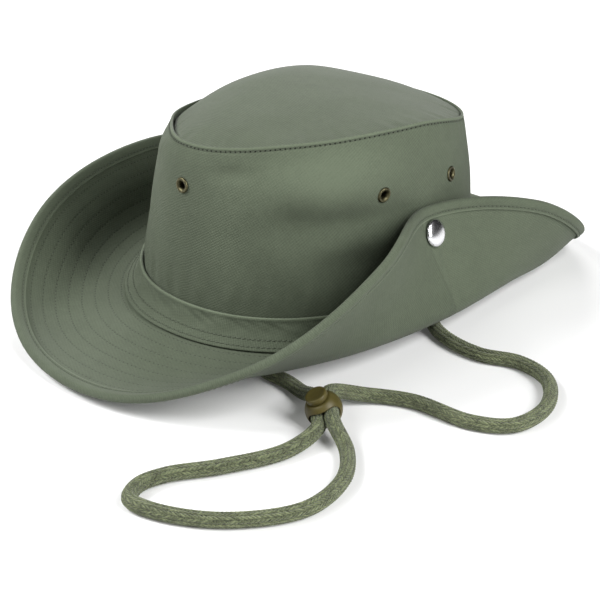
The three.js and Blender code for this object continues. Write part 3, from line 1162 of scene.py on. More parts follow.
@dataclass
class Brim:
    """The quilted brim: its cloth bends up from the crown seam to the rim, section by section."""

    width: float = 77 * MM
    back_trim: float = 0.26
    back_at: float = 91.0
    back_half_angle: float = 30.0
    seam_offset: float = 2.1 * MM
    seam_drop: float = 15 * MM
    lap: float = 1.8 * MM
    cloth: float = 2 * MM
    tape: float = 1 * MM
    tape_width: float = 8 * MM
    tape_under: float = 7 * MM
    tape_length: float = 1080 * MM
    columns: int = 400
    quilting: SewingMarks = SewingMarks(first=11.5 * MM, pitch=7.7 * MM, rows=8, stitches=226, more=17,
                                        hole=0.48 * MM, depth=0.62, line=0.05, press=0.5, below=0.1)
    tape_row: float = 70.9 * MM
    tape_stitches: int = 362
    groove: float = 0.1 * MM
    sunk: float = 0.3 * MM
    under_press: float = 0.1 * MM
    back_weave: Pair = (0.94, 0.34)

    @property
    def under_shift(self) -> float:
        """How much nearer the rim the tape's edge lies on the underside."""
        return self.tape_width - self.tape_under

    def slope(self, angle: Array, along: Array) -> Array:
        """Slope in radians: seam + (rim - seam) smooth_step(along) over the bend.

        Args:
            angle: angles in degrees.
            along: distances along the cloth from the seam.

        Returns:
            The slopes.
        """
        seam = around(BRIM_SECTIONS, "seam_slope", angle)
        rim = around(BRIM_SECTIONS, "rim_slope", angle)
        middle = around(BRIM_SECTIONS, "bend_at", angle)
        half = around(BRIM_SECTIONS, "bend_length", angle) / 2
        return np.radians(seam + (rim - seam) * smooth_step(along, middle - half, middle + half))

    def middle(self, angle: Array, along: Array) -> Array:
        """Middle of the cloth: seam point + out * sum of cos(slope) + up * sum of sin(slope).

        At the back the brim is cut narrower, by a share that falls off as a bell curve.

        Args:
            angle: angles in degrees.
            along: distances along the cloth from the seam, of the same shape.

        Returns:
            The points.
        """
        points, out = HEAD.rim(angle, self.seam_offset)
        trim = self.back_trim * bell(turn_between(angle, self.back_at), self.back_half_angle)
        along = along * (1 - trim)
        shares = (np.arange(SAMPLES) + 0.5) / SAMPLES
        slope = self.slope(angle[..., None], along[..., None] * shares)
        reach = np.cos(slope).mean(-1) * along
        rise = np.sin(slope).mean(-1) * along
        height = HEAD.height - self.seam_drop + rise
        return points + out * reach[..., None] + UP * height[..., None]

    def normal(self, angle: Array, along: Array) -> Array:
        """Direction square to the cloth, on its upper face, from small steps both ways.

        Args:
            angle: angles in degrees.
            along: distances along the cloth from the seam.

        Returns:
            The unit directions.
        """
        step, turn = 0.5 * MM, 0.5
        across = self.middle(angle + turn, along) - self.middle(angle - turn, along)
        out = self.middle(angle, along + step) - self.middle(angle, along - step)
        return unit(np.cross(out, across))

    def point(self, angle: Array, along: Array, above: Array) -> Array:
        """Points a height above the middle of the cloth."""
        above = np.broadcast_to(above, np.shape(along))
        return self.middle(angle, along) + self.normal(angle, along) * above[..., None]

    def grid(self, along: Array, above: Array) -> tuple[Array, Array, Array]:
        """A section of (along, above) pairs carried round the brim.

        Args:
            along: distances along the cloth.
            above: heights above its middle.

        Returns:
            The points, and the angle and distance of each, with one more column for the maps.
        """
        angle, reach = np.meshgrid(whole_turn(self.columns), along)
        height = np.broadcast_to(np.asarray(above)[:, None], angle.shape)
        points = self.point(angle[:, :-1], reach[:, :-1], height[:, :-1])
        return points, angle, reach

    def maps(self, angle: Array, along: Array) -> dict[str, Array]:
        """UV maps: the flat cut of the cloth, and turn and distance along.

        The flat cut is the oval's point + out * along. The brim's back half is cut with its
        weave turned, so the two halves differ where they are joined at the sides.

        Args:
            angle: angles in degrees.
            along: distances along the cloth from the seam.

        Returns:
            The maps, by name.
        """
        points, out = HEAD.rim(angle, self.seam_offset)
        flat = (points + out * along[..., None])[..., :2]
        back = np.sin(np.radians(angle)) > 0
        x, y = flat[..., 0], flat[..., 1]
        long, short = self.back_weave
        turned_flat = np.stack([y * long + x * short, y * short - x * long], -1)
        weave = np.where(back[..., None], turned_flat, flat)
        return {"weave": weave, "seam": np.stack([angle / 360 + 1, along], -1)}

    def row_places(self) -> Array:
        """Distances along the cloth of the quilting rows."""
        return self.quilting.first + self.quilting.pitch * np.arange(self.quilting.rows)

    def sink(self, along: Array) -> Array:
        """Depth of the quilting: a bell-shaped groove on each row."""
        return sum(self.groove * bell(along - row, 0.9 * MM) for row in self.row_places())

    def cloth_piece(self) -> bpy.types.Object:
        """The quilted cloth, with a groove on both faces along every row.

        Returns:
            The piece.
        """
        edge = self.width - self.tape_width
        near = np.array((-1.5, -0.75, 0, 0.75, 1.5)) * MM
        places = [np.array((-self.lap, 3 * MM, 7 * MM))]
        places += [row + near for row in self.row_places()]
        places += [row + np.array((-3.7, -2.6, 2.6)) * MM for row in self.row_places()]
        places += [np.array((edge + 1 * MM, edge + 4 * MM, self.width - 1.5 * MM))]
        along = np.unique(np.concatenate(places).round(6))
        upper = self.cloth / 2 - self.sink(along)
        lower = self.cloth / 2 - self.sink(along) * self.quilting.below
        section = np.concatenate([along, along[::-1]])
        above = np.concatenate([upper, -lower[::-1]])
        points, angle, reach = self.grid(section, above)
        maps = closed_rows(self.maps(angle, reach))
        face = np.repeat([1.0, 0.0], [len(along), len(along) + 1])[:, None]
        maps["face"] = np.stack(np.broadcast_arrays(face, maps["seam"][..., 0]), -1)
        piece = Shell("brim_cloth", points, maps).build()
        look = TwillFinish("brim_twill", SAGE, sewing=(self.quilting,),
                           joins=(Join(LEFT_JOIN, -0.36, 0.1), Join(RIGHT_JOIN, 0.36)))
        return finish(piece, look.material(), Slot.CLOTH, "brim")

    def tape_piece(self) -> bpy.types.Object:
        """The tape round the rim: (along, above) goes under, round the fold and over.

        Returns:
            The piece.
        """
        inner = self.cloth / 2 + GAP
        outer = inner + self.tape
        edge = self.width - self.tape_width
        fold = self.width - self.tape
        bend = np.radians(np.linspace(-90, 90, 11))
        shoulder = fold - 1.2 * MM
        under = self.width - self.tape_under
        flats = edge + np.array((0.5, 1.2, 1.9, 2.6, 3.6, 4.8)) * MM
        flats_under = under + np.array((0.5, 1.1, 1.6, 2.3, 3.2)) * MM
        dip = outer - self.sunk * bell(flats - self.tape_row, 0.6 * MM)
        dip_under = outer - self.sunk * bell(flats_under - self.tape_row - self.under_shift, 0.5 * MM)
        along = np.concatenate([
            [edge, fold, fold, under, under - 0.15 * MM, under],
            flats_under,
            shoulder + (self.width - shoulder) * np.cos(bend),
            flats[::-1],
            [edge, edge - 0.15 * MM],
        ])
        above = np.concatenate([
            [inner, inner, -inner, -inner, -(inner + 0.4 * MM), -(outer - 0.15 * MM)],
            -dip_under,
            outer * np.sin(bend),
            dip[::-1],
            [outer - 0.15 * MM, inner + 0.4 * MM],
        ])
        points, angle, reach = self.grid(along, above)
        length = (angle - FRONT) / 360 * self.tape_length
        shift = np.where(above < 0, self.under_shift, 0.0)[:, None]
        maps = closed_rows({"weave": np.stack([length, reach], -1),
                            "seam": np.stack([angle / 360 + 1, reach - shift], -1)})
        piece = Shell("edge_tape", points, maps).build()
        marks = SewingMarks(first=self.tape_row, pitch=1.0, rows=1, stitches=self.tape_stitches,
                            depth=0.6, line=0.12)
        # The tape's edge is lightened partly by wear, partly as a painted highlight.
        look = TwillFinish("tape_twill", scaled(SAGE, 1.06), rib_pitch=0.9 * MM, rib_slant=-28,
                           rib_contrast=0.45, sewing=(marks,), worn_and_highlit_edges=((edge + 0.2 * MM, 0.6 * MM),))
        return finish(piece, look.material(), Slot.CLOTH, "brim_binding")

    def sewing(self) -> bpy.types.Object:
        """Stitches of the quilting and of the tape, on both faces.

        Returns:
            The piece.
        """
        on_cloth = self.cloth / 2 - self.sunk
        rows = [(place, self.quilting.stitches + self.quilting.more * k, on_cloth - self.groove)
                for k, place in enumerate(self.row_places())]
        rows.append((self.tape_row, self.tape_stitches, on_cloth + GAP + self.tape))
        centres, forward, above = [], [], []
        for place, count, height in rows:
            angle = stitch_angles(count)
            on_tape = place == self.tape_row
            for side in (1, -1):
                under = side < 0
                along = np.full(count, place + (self.under_shift if under and on_tape else 0))
                lower = self.under_press if under and not on_tape else 0.0
                normal = self.normal(angle, along) * side
                centres.append(self.middle(angle, along) + normal * (height - lower))
                forward.append(self.middle(angle + 0.3, along) - self.middle(angle - 0.3, along))
                above.append(normal)
        piece = SewnRow().build("brim_stitches", np.vstack(centres), np.vstack(forward),
                                np.vstack(above))
        return finish(piece, THREAD.material(), Slot.CLOTH)


@dataclass
class Crown:
    """The crown: its dented wall, the domed top panel, and the sewn seam between them."""

    cloth: float = 1.6 * MM
    bulge: float = 1.3 * MM
    foot: float = 10.5 * MM
    summit: Point = (-16 * MM, -11 * MM, 124.2 * MM)
    fullness: float = 2.1
    columns: int = 480
    seam_below: float = 1.4 * MM
    shoulder: float = 6 * MM
    shoulder_at: float = -113.0
    shoulder_half_angle: float = 24.0
    seam_stitches: int = 190
    seam_groove: float = 0.45 * MM
    base_length: float = 560 * MM
    drill: float = 3 * MM

    def puckers(self, angle: Array, level: Array) -> Array:
        """Small gathers: ripples that fade away from the top seam and from the base.

        Args:
            angle: angles in degrees.
            level: heights as shares of the wall's height.

        Returns:
            How far they stand out.
        """
        top = ripple(angle, SEAM_GATHERS) * smooth_step(level, 0.8, 0.97) * (1 - level)
        low = ripple(angle, BASE_GATHERS) * bell(level - 0.1, 0.1)
        soft = ripple(angle + 30 * level, WALL_WAVES) * smooth_step(level, 0.1, 0.5) * (1 - level)
        return (1.7 * top + 0.5 * low + 0.84 * soft) * MM

    def wall(self, angle: Array, level: Array, inwards: Array | float = 0.0,
             fine: bool = True) -> Array:
        """Points of the wall: oval + out (bulge 4 s (1 - s) - inset s - shoulder - dents - inwards).

        Args:
            angle: angles in degrees.
            level: shares s of the wall's height.
            inwards: how far inside the outer face.
            fine: whether the puckers count.

        Returns:
            The points.
        """
        points, out = HEAD.rim(angle)
        share = np.maximum(level, 0)
        inset = around(CROWN_SECTIONS, "inset", angle) * share
        shoulder = self.shoulder * bell(turn_between(angle, self.shoulder_at), self.shoulder_half_angle)
        inset = inset + shoulder * smooth_step(share, 0.87, 1.05)
        fade = smooth_step(share, 0, 0.15) * (1 - smooth_step(share, 0.85, 1))
        dents = spots(CROWN_DENTS, angle, share) * fade
        offset = self.bulge * 4 * share * (1 - share) - inset - dents - inwards
        if fine:
            offset = offset + self.puckers(angle, share)
        height = HEAD.height + around(CROWN_SECTIONS, "height", angle) * level
        return points + out * offset[..., None] + UP * height[..., None]

    def wall_normal(self, angle: Array, level: Array) -> Array:
        """Direction square to the wall, outwards, from small steps both ways.

        Args:
            angle: angles in degrees.
            level: heights as shares of the wall's height.

        Returns:
            The unit directions.
        """
        across = self.wall(angle + 1, level, fine=False) - self.wall(angle - 1, level, fine=False)
        rise = self.wall(angle, level + 0.02, fine=False) - self.wall(angle, level - 0.02, fine=False)
        return unit(np.cross(across, rise))

    def eyelet_frame(self, eyelet: VentEyelet) -> tuple[Array, Array]:
        """Centre and axes of an eyelet, its own axis square to the wall."""
        angle, level = np.array(float(eyelet.at)), np.array(eyelet.level)
        return self.wall(angle, level, fine=False), axes_along(self.wall_normal(angle, level))

    def wall_piece(self) -> bpy.types.Object:
        """The wall's cloth: up its outer face, over a round ridge and down its inner face.

        Returns:
            The piece.
        """
        turns = whole_turn(self.columns)[None]
        level = np.concatenate([np.linspace(0, 0.88, 52), np.linspace(0.895, 0.992, 16)])[:, None]
        ridge = np.radians(np.linspace(15, 165, 7))[:, None]
        inner = np.linspace(0.97, 0, 22)[:, None]
        height = around(CROWN_SECTIONS, "height", turns)
        tail = self.cloth / 2
        groove = self.seam_groove * bell((1 - level) * height - self.seam_below, 1.0 * MM)
        outer = self.wall(turns, level + 0 * height, groove)
        over = self.wall(turns, np.ones_like(ridge) + 0 * height, tail - tail * np.cos(ridge))
        over = over + UP * (tail * np.sin(ridge))[..., None]
        back = self.wall(turns, inner + 0 * height, self.cloth)
        feet = [outer[:1].copy(), back[-1:].copy()]
        for ring in feet:
            ring[..., 2] = self.foot
        points = np.vstack([feet[0], outer, over, back, feet[1]])
        length = np.broadcast_to((turns - FRONT) / 360 * self.base_length, points.shape[:2])
        below = height - (points[..., 2] - HEAD.height)
        below[len(level) + 1 + len(ridge) // 2:] = 1.0
        # Painted light and shade of the wall's spots, one value for each point, for the cloth's colour.
        fade = np.zeros(points.shape[:2])
        fade[1:len(level) + 1] = spots(CROWN_PAINTED_SHADING, turns, level)
        maps = closed_rows({"weave": np.stack([length, points[..., 2]], -1),
                            "seam": np.stack([np.broadcast_to(turns / 360 + 1, below.shape), below], -1),
                            "worn": np.stack([fade, fade], -1)})
        piece = Shell("crown_wall", points[:, :-1], maps).build()
        deep = 6 * MM
        profile = [(0, -deep), (self.drill, -deep), (self.drill, deep), (0, deep)]
        cut_by(piece, [turned("drill", profile, self.eyelet_frame(eyelet), 32).build()
                       for eyelet in EYELETS])
        marks = SewingMarks(first=self.seam_below, pitch=1.0, rows=1, stitches=self.seam_stitches,
                            hole=0.6 * MM, depth=0.92, line=0.35)
        # The wall takes the painted light and shade at this strength, and its ridge is lightened partly
        # by wear, partly as a painted highlight.
        look = TwillFinish("crown_twill", SAGE, rib_slant=58, worn=0.58, sewing=(marks,),
                           worn_and_highlit_edges=((-0.2 * MM, 0.9 * MM),))
        return finish(piece, look.material(), Slot.CLOTH, "crown_side")

    def tip(self, angle: Array, share: Array, below: float) -> Array:
        """Points of the top panel: height = summit - drop share^fullness, with a sunk edge.

        Args:
            angle: angles in degrees.
            share: shares of the way from the summit to the seam.
            below: how far under the upper face.

        Returns:
            The points.
        """
        summit = np.array(self.summit)
        edge = self.wall(angle, np.ones_like(angle), self.cloth + GAP)
        sunk = around(CROWN_SECTIONS, "ridge", angle)
        drop = (summit[2] - edge[..., 2] + sunk) * share**self.fullness
        points = summit + (edge - summit) * share[..., None]
        gather = ripple(angle, EDGE_GATHERS) * smooth_step(share, 0.82, 0.97) * 0.22 * MM
        swell = ripple(angle, TOP_WAVES) * bell(share - 0.78, 0.2) * 0.5 * MM
        points[..., 2] = summit[2] - drop - below + gather + swell
        return points

    def tip_piece(self) -> bpy.types.Object:
        """The top panel's cloth, from the summit out, round its edge and back below.

        Returns:
            The piece.
        """
        shares = np.concatenate([np.linspace(0.03, 0.9, 30), np.linspace(0.92, 1, 9)])
        angle, out = np.meshgrid(whole_turn(self.columns // 2)[:-1], shares)
        top = self.tip(angle, out, 0.0)
        under = self.tip(angle[::3], out[::3], self.cloth)[::-1]
        summit = np.array(self.summit)
        poles = (summit[None], (summit - UP * self.cloth)[None])
        piece = Shell("crown_top", np.vstack([top, under]), poles=poles).build()
        look = TwillFinish("top_twill", SAGE, weave=WeaveMap.PLAN, rib_slant=100)
        return finish(piece, look.material(), Slot.CLOTH, "crown_tip")

    def sewing(self) -> bpy.types.Object:
        """Top-stitching of the wall just under its ridge.

        Returns:
            The piece.
        """
        angle = stitch_angles(self.seam_stitches)
        level = 1 - self.seam_below / around(CROWN_SECTIONS, "height", angle)
        centres = self.wall(angle, level, 0.42 * MM)
        forward = self.wall(angle + 0.3, level) - self.wall(angle - 0.3, level)
        stitches = SewnRow(length=1.9 * MM, width=0.5 * MM)
        piece = stitches.build("crown_stitches", centres, forward, self.wall_normal(angle, level))
        return finish(piece, THREAD.material(), Slot.CLOTH)


@dataclass
class Band:
    """The flared strip from the folded lip at the wall down onto the brim."""

    brim: Brim
    cloth: float = 1.2 * MM
    lip: float = 2 * MM
    landing: float = 9 * MM
    hollow: Pair = (3.2 * MM, -9.5 * MM)
    lip_rise: float = 0.6 * MM
    lip_swell: float = 0.35 * MM
    length: float = 620 * MM
    columns: int = 400
    rows: SewingMarks = SewingMarks(first=2.2 * MM, pitch=4.3 * MM, rows=2, stitches=218,
                                    hole=0.42 * MM, depth=0.55, line=0.04, press=0.6)

    def curve(self, angle: Array, share: Array) -> tuple[Array, Array]:
        """Middle of the cloth and its direction: (1 - t)^2 lip + 2 t (1 - t) hollow + t^2 landing.

        Args:
            angle: angles in degrees.
            share: shares t of the way down.

        Returns:
            The points, and the unit directions down the strip.
        """
        base, out = HEAD.rim(angle)
        height = HEAD.height
        start = base + out * (GAP + self.lip / 2 + 0.1 * MM) + UP * (height + self.lip_rise)
        middle = base + out * self.hollow[0] + UP * (height + self.hollow[1])
        along = np.full(np.shape(angle), self.landing)
        end = self.brim.point(angle, along, self.brim.cloth / 2 + GAP + self.cloth / 2)
        t = share[..., None]
        points = start * (1 - t) ** 2 + middle * 2 * t * (1 - t) + end * t**2
        return points, unit((middle - start) * (1 - t) + (end - middle) * t)

    def pucker(self, angle: Array, share: Array) -> Array:
        """Gathers under the lip: ripples that fade out before the stitched edge.

        Args:
            angle: angles in degrees.
            share: shares of the way down.

        Returns:
            How far they stand out.
        """
        wide = ripple(angle, BAND_WAVES) * bell(share - 0.34, 0.2)
        tight = ripple(angle - 25 * share, BAND_GATHERS) * bell(share - 0.24, 0.13)
        return (0.55 * wide + 0.3 * tight) * MM

    def point(self, angle: Array, share: Array, side: Array | float) -> tuple[Array, Array]:
        """Points to one side of the cloth's middle, and the direction away from the crown.

        Args:
            angle: angles in degrees.
            share: shares of the way down.
            side: how far outside the middle.

        Returns:
            The points and the unit directions.
        """
        points, down = self.curve(angle, share)
        _, out = HEAD.rim(angle)
        away = unit(np.cross(np.cross(out, UP), down))
        away = np.where(((away * out).sum(-1) < 0)[..., None], -away, away)
        offset = np.broadcast_to(side, np.shape(share)) + self.pucker(angle, share)
        return points + away * offset[..., None], away

    def cloth_piece(self) -> bpy.types.Object:
        """The strip's cloth: down its outer face, round its folded edge and up its inner face.

        Returns:
            The piece.
        """
        lip = np.radians(np.linspace(0, 180, 9))
        shares = np.array((0.06, 0.1, 0.14, 0.18, 0.24, 0.3, 0.37, 0.44, 0.52, 0.6, 0.68, 0.76, 0.84,
                           0.9, 0.95, 0.985))
        half = self.cloth / 2
        bead = self.lip / 2
        swollen = half + self.lip_swell * bell(shares, 0.07)
        share = np.concatenate([np.full(len(lip), 0.02), shares, [1.0, 1.0], shares[::-1]])
        side = np.concatenate([-bead * np.cos(lip), swollen, [half * 0.5, -half * 0.5], -swollen[::-1]])
        rise = np.concatenate([bead * 0.9 * np.sin(lip), np.zeros(len(shares) * 2 + 2)])
        angle, t = np.meshgrid(whole_turn(self.columns), share)
        points, _ = self.point(angle, t, np.broadcast_to(side[:, None], angle.shape))
        points = points + UP * rise[:, None, None]
        steps = np.linalg.norm(np.diff(self.curve(angle, t)[0], axis=0), axis=-1).mean(1)
        rows_down = np.concatenate([[0], np.cumsum(steps)])
        last = len(lip) + len(shares)
        edge = rows_down[last] - rows_down
        edge[last + 2:] = 1.0
        down, up = (np.broadcast_to(row[:, None], angle.shape) for row in (rows_down, edge))
        maps = closed_rows({"weave": np.stack([(angle - FRONT) / 360 * self.length, down], -1),
                            "seam": np.stack([angle / 360 + 1, up], -1)})
        piece = Shell("band_cloth", points[:, :-1], maps).build()
        crest = float(edge[len(lip) // 2])
        # The lip's crest is lightened partly by wear, partly as a painted highlight.
        look = TwillFinish("band_twill", scaled(SAGE, 1.02), rib_slant=20, sewing=(self.rows,),
                           worn_and_highlit_edges=((crest, 1.0 * MM),))
        return finish(piece, look.material(), Slot.CLOTH, "hat_band")

    def sewing(self) -> bpy.types.Object:
        """The two rows of stitches near the strip's lower edge.

        Returns:
            The piece.
        """
        centres, forward, above = [], [], []
        for k in range(self.rows.rows):
            angle = stitch_angles(self.rows.stitches)
            share = self._share_at(angle, self.rows.first + k * self.rows.pitch)
            points, away = self.point(angle, share, self.cloth / 2 - 0.05 * MM)
            ahead, _ = self.point(angle + 0.3, share, self.cloth / 2)
            centres.append(points)
            forward.append(ahead - points)
            above.append(away)
        piece = SewnRow().build("band_stitches", np.vstack(centres), np.vstack(forward),
                                np.vstack(above))
        return finish(piece, THREAD.material(), Slot.CLOTH)

    def _share_at(self, angle: Array, up_from_edge: float) -> Array:
        """Share of the way down at which the mean strip is this far from its lower edge.

        Args:
            angle: angles in degrees.
            up_from_edge: distance up from the lower edge.

        Returns:
            The share, once for each angle.
        """
        shares = np.linspace(0, 1, 60)
        grid, t = np.meshgrid(whole_turn(72)[:-1], shares)
        steps = np.linalg.norm(np.diff(self.curve(grid, t)[0], axis=0), axis=-1).mean(1)
        down = np.concatenate([[0], np.cumsum(steps)])
        return np.full(len(angle), np.interp(down[-1] - up_from_edge, down, shares))


@dataclass
class Fittings:
    """The metal eyelets and the press stud, which sits at an angle and a distance along the brim."""

    crown: Crown
    brim: Brim
    flange: float = 4.3 * MM
    hole: float = 1.9 * MM
    barrel: float = 2.6 * MM
    snap_place: Pair = (-0.5, 62.2 * MM)
    snap_lift: float = 1.4 * MM
    brass: MetalFinish = MetalFinish("antique_brass", from_screen(112, 108, 82), from_screen(50, 48, 34),
                                     0.55, 0.3)
    polish: MetalFinish = MetalFinish("polished_steel", from_screen(222, 222, 224),
                                      from_screen(180, 180, 184), 0.1, 0.2, 0.2)

    def eyelet_pieces(self) -> list[bpy.types.Object]:
        """The eyelets: a flange that climbs out of the hole and rolls over, quarter ellipses both.

        Returns:
            The eyelets.
        """
        look = self.brass.material()
        crest, lift = 3.55 * MM, 1.05 * MM
        throat, rim = -0.7 * MM, 0.15 * MM
        washer = self.flange - 0.3 * MM
        profile = [(self.hole, -3.2 * MM), (self.hole, -0.9 * MM)]
        profile += arc((crest, throat), (self.hole - crest, lift - throat), np.linspace(8, 90, 7))
        profile += arc((crest, rim), (self.flange - crest, lift - rim), np.linspace(82, 0, 7))
        profile += [(self.barrel, 0.1 * MM), (self.barrel, -2.6 * MM), (washer, -2.6 * MM),
                    (washer, -3.1 * MM)]
        pieces = []
        for eyelet in EYELETS:
            shape = turned(f"{eyelet.name}_ring", profile, self.crown.eyelet_frame(eyelet))
            pieces.append(finish(shape.build(), look, Slot.EYELET, eyelet.name))
        return pieces

    def snap_pieces(self) -> list[bpy.types.Object]:
        """The cap, a low dome r = R cos a, h = H sin a on a rolled rim, and the hidden post.

        Returns:
            The cap and the post.
        """
        at, along = (np.array(place) for place in self.snap_place)
        outwards = -self.brim.normal(at, along)
        seat = self.brim.point(at, along, np.array(-self.brim.cloth / 2 - self.snap_lift))
        radius, dome, rim, curl = 7.5 * MM, 2.6 * MM, 0.55 * MM, 0.3 * MM
        profile = [(0, dome)]
        profile += arc((0, rim), (radius - curl / 2, dome - rim), np.linspace(90, 4, 26)[1:])
        profile += arc((radius - curl, curl), (curl, curl), np.linspace(70, -80, 7))
        profile += [(radius * 0.8, 0), (0, 0)]
        cap = turned("snap_dome", profile, (seat, axes_along(outwards)), 96).build()
        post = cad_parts["snap_stud"]
        post.data.materials.clear()
        post.data.materials.append(self.brass.material())
        return [finish(cap, self.polish.material(), Slot.SNAP, "snap_cap"), post]


@dataclass
class CordLock:
    """The ball with a slot for two strands, and its round push button."""

    centre: Point = (110.8 * MM, -114.6 * MM, 9.6 * MM)
    radius: float = 9.5 * MM
    flat_at: float = 7.2 * MM
    lane_spacing: float = 7.8 * MM
    slot_round: float = 4.2 * MM
    button_radius: float = 5.7 * MM
    button_height: float = 3.2 * MM
    plastic: MouldedFinish = MouldedFinish("olive_plastic", scaled(from_screen(116, 106, 54), EXPOSURE),
                                           0.44)

    @property
    def axes(self) -> Array:
        """Axes as rows: across the two lanes, back along the slot, and out of the button.

        Returns:
            The axes, as a 3 by 3 array.
        """
        button = unit(np.array((-0.2, -0.4, 0.9)))
        towards_loop = np.array((0.67, -0.74, 0.0))
        through = unit(towards_loop - button * (towards_loop @ button))
        return np.stack([np.cross(button, through), -through, button])

    def lane(self, side: int, forward: float) -> Point:
        """Point in the slot: lane -1 or 1, and a distance towards the loop.

        Args:
            side: which lane, -1 or 1.
            forward: distance towards the loop.

        Returns:
            The point.
        """
        across, back, _ = self.axes
        point = np.array(self.centre) + across * side * self.lane_spacing / 2 - back * forward
        return tuple(point)

    def _slot_radius(self, turn: Array) -> Array:
        """The slot's outline, two half circles a lane apart, as a radius at each turn.

        With c and s the turn's cosine and sine, L half the lanes' distance and R the round, it is
        L |c| + sqrt(R^2 - L^2 s^2) on the half circles and R / |s| on the flats between them.

        Args:
            turn: turns in radians.

        Returns:
            The radii.
        """
        c, s = np.abs(np.cos(turn)), np.maximum(np.abs(np.sin(turn)), 1e-6)
        half, r = self.lane_spacing / 2, self.slot_round
        on_ends = half * c + np.sqrt(np.maximum(r**2 - (half * s) ** 2, 0))
        return np.where(c / s * r > half, on_ends, r / s)

    def ball_piece(self) -> bpy.types.Object:
        """The ball: over its sphere from one mouth of the slot to the other and back inside.

        With b the distance along the slot's axis and r the distance from it, the sphere is
        b = R cos a, r = R sin a, and each lip is a quadratic curve from the sphere round the
        corner to the slot. The flat under the button is a smooth minimum with a plane.

        Returns:
            The piece.
        """
        turn = np.linspace(0, 2 * math.pi, 128, endpoint=False)[None]
        slot = self._slot_radius(turn)
        corner = np.arcsin(slot / self.radius)
        lip, blend = 0.9 * MM, 0.5 * MM
        start = corner + lip / self.radius
        sweep = start + (math.pi - 2 * start) * np.linspace(0, 1, 60)[:, None]
        t = np.linspace(0, 1, 9)[1:-1, None]
        mouth = self.radius * np.cos(corner)
        first_b, first_r = self.radius * np.cos(start), self.radius * np.sin(start)
        lip_b = first_b * (1 - t) ** 2 + mouth * 2 * t * (1 - t) + (mouth - lip) * t**2
        lip_r = first_r * (1 - t) ** 2 + slot * 2 * t * (1 - t) + slot * t**2
        inside = np.linspace(-1, 1, 9)[:, None] * (mouth - lip)
        along = np.vstack([self.radius * np.cos(sweep), -lip_b, inside, lip_b[::-1]])
        wall = np.repeat(slot, len(inside), axis=0)
        away = np.vstack([self.radius * np.sin(sweep), lip_r, wall, lip_r[::-1]])
        x, z = away * np.cos(turn), away * np.sin(turn)
        over = z - self.flat_at
        z = self.flat_at + 0.5 * (over - np.sqrt(over**2 + blend**2))
        across, back, up = self.axes
        points = (np.array(self.centre) + x[..., None] * across + along[..., None] * back
                  + z[..., None] * up)
        piece = Shell("cord_lock_ball", points).build()
        return finish(piece, self.plastic.material(), Slot.TOGGLE, "cord_toggle")

    def button_piece(self) -> bpy.types.Object:
        """The push button: a short drum with rounded edges and a shallow dish.

        Returns:
            The piece.
        """
        base = self.flat_at + GAP
        top = base + self.button_height
        r = self.button_radius
        edge = 0.8 * MM
        profile = [(0, base), (r - 0.5 * MM, base), (r, base + 0.45 * MM)]
        profile += arc((r - edge, top - edge), (edge, edge), np.linspace(0, 90, 7))
        profile += [(r - 1.6 * MM, top - 0.1 * MM), (r - 2.2 * MM, top - 0.32 * MM),
                    (r * 0.35, top - 0.42 * MM), (0, top - 0.42 * MM)]
        piece = turned("cord_lock_button", profile, (np.array(self.centre), self.axes), 72).build()
        return finish(piece, self.plastic.material(), Slot.TOGGLE, "toggle_button")


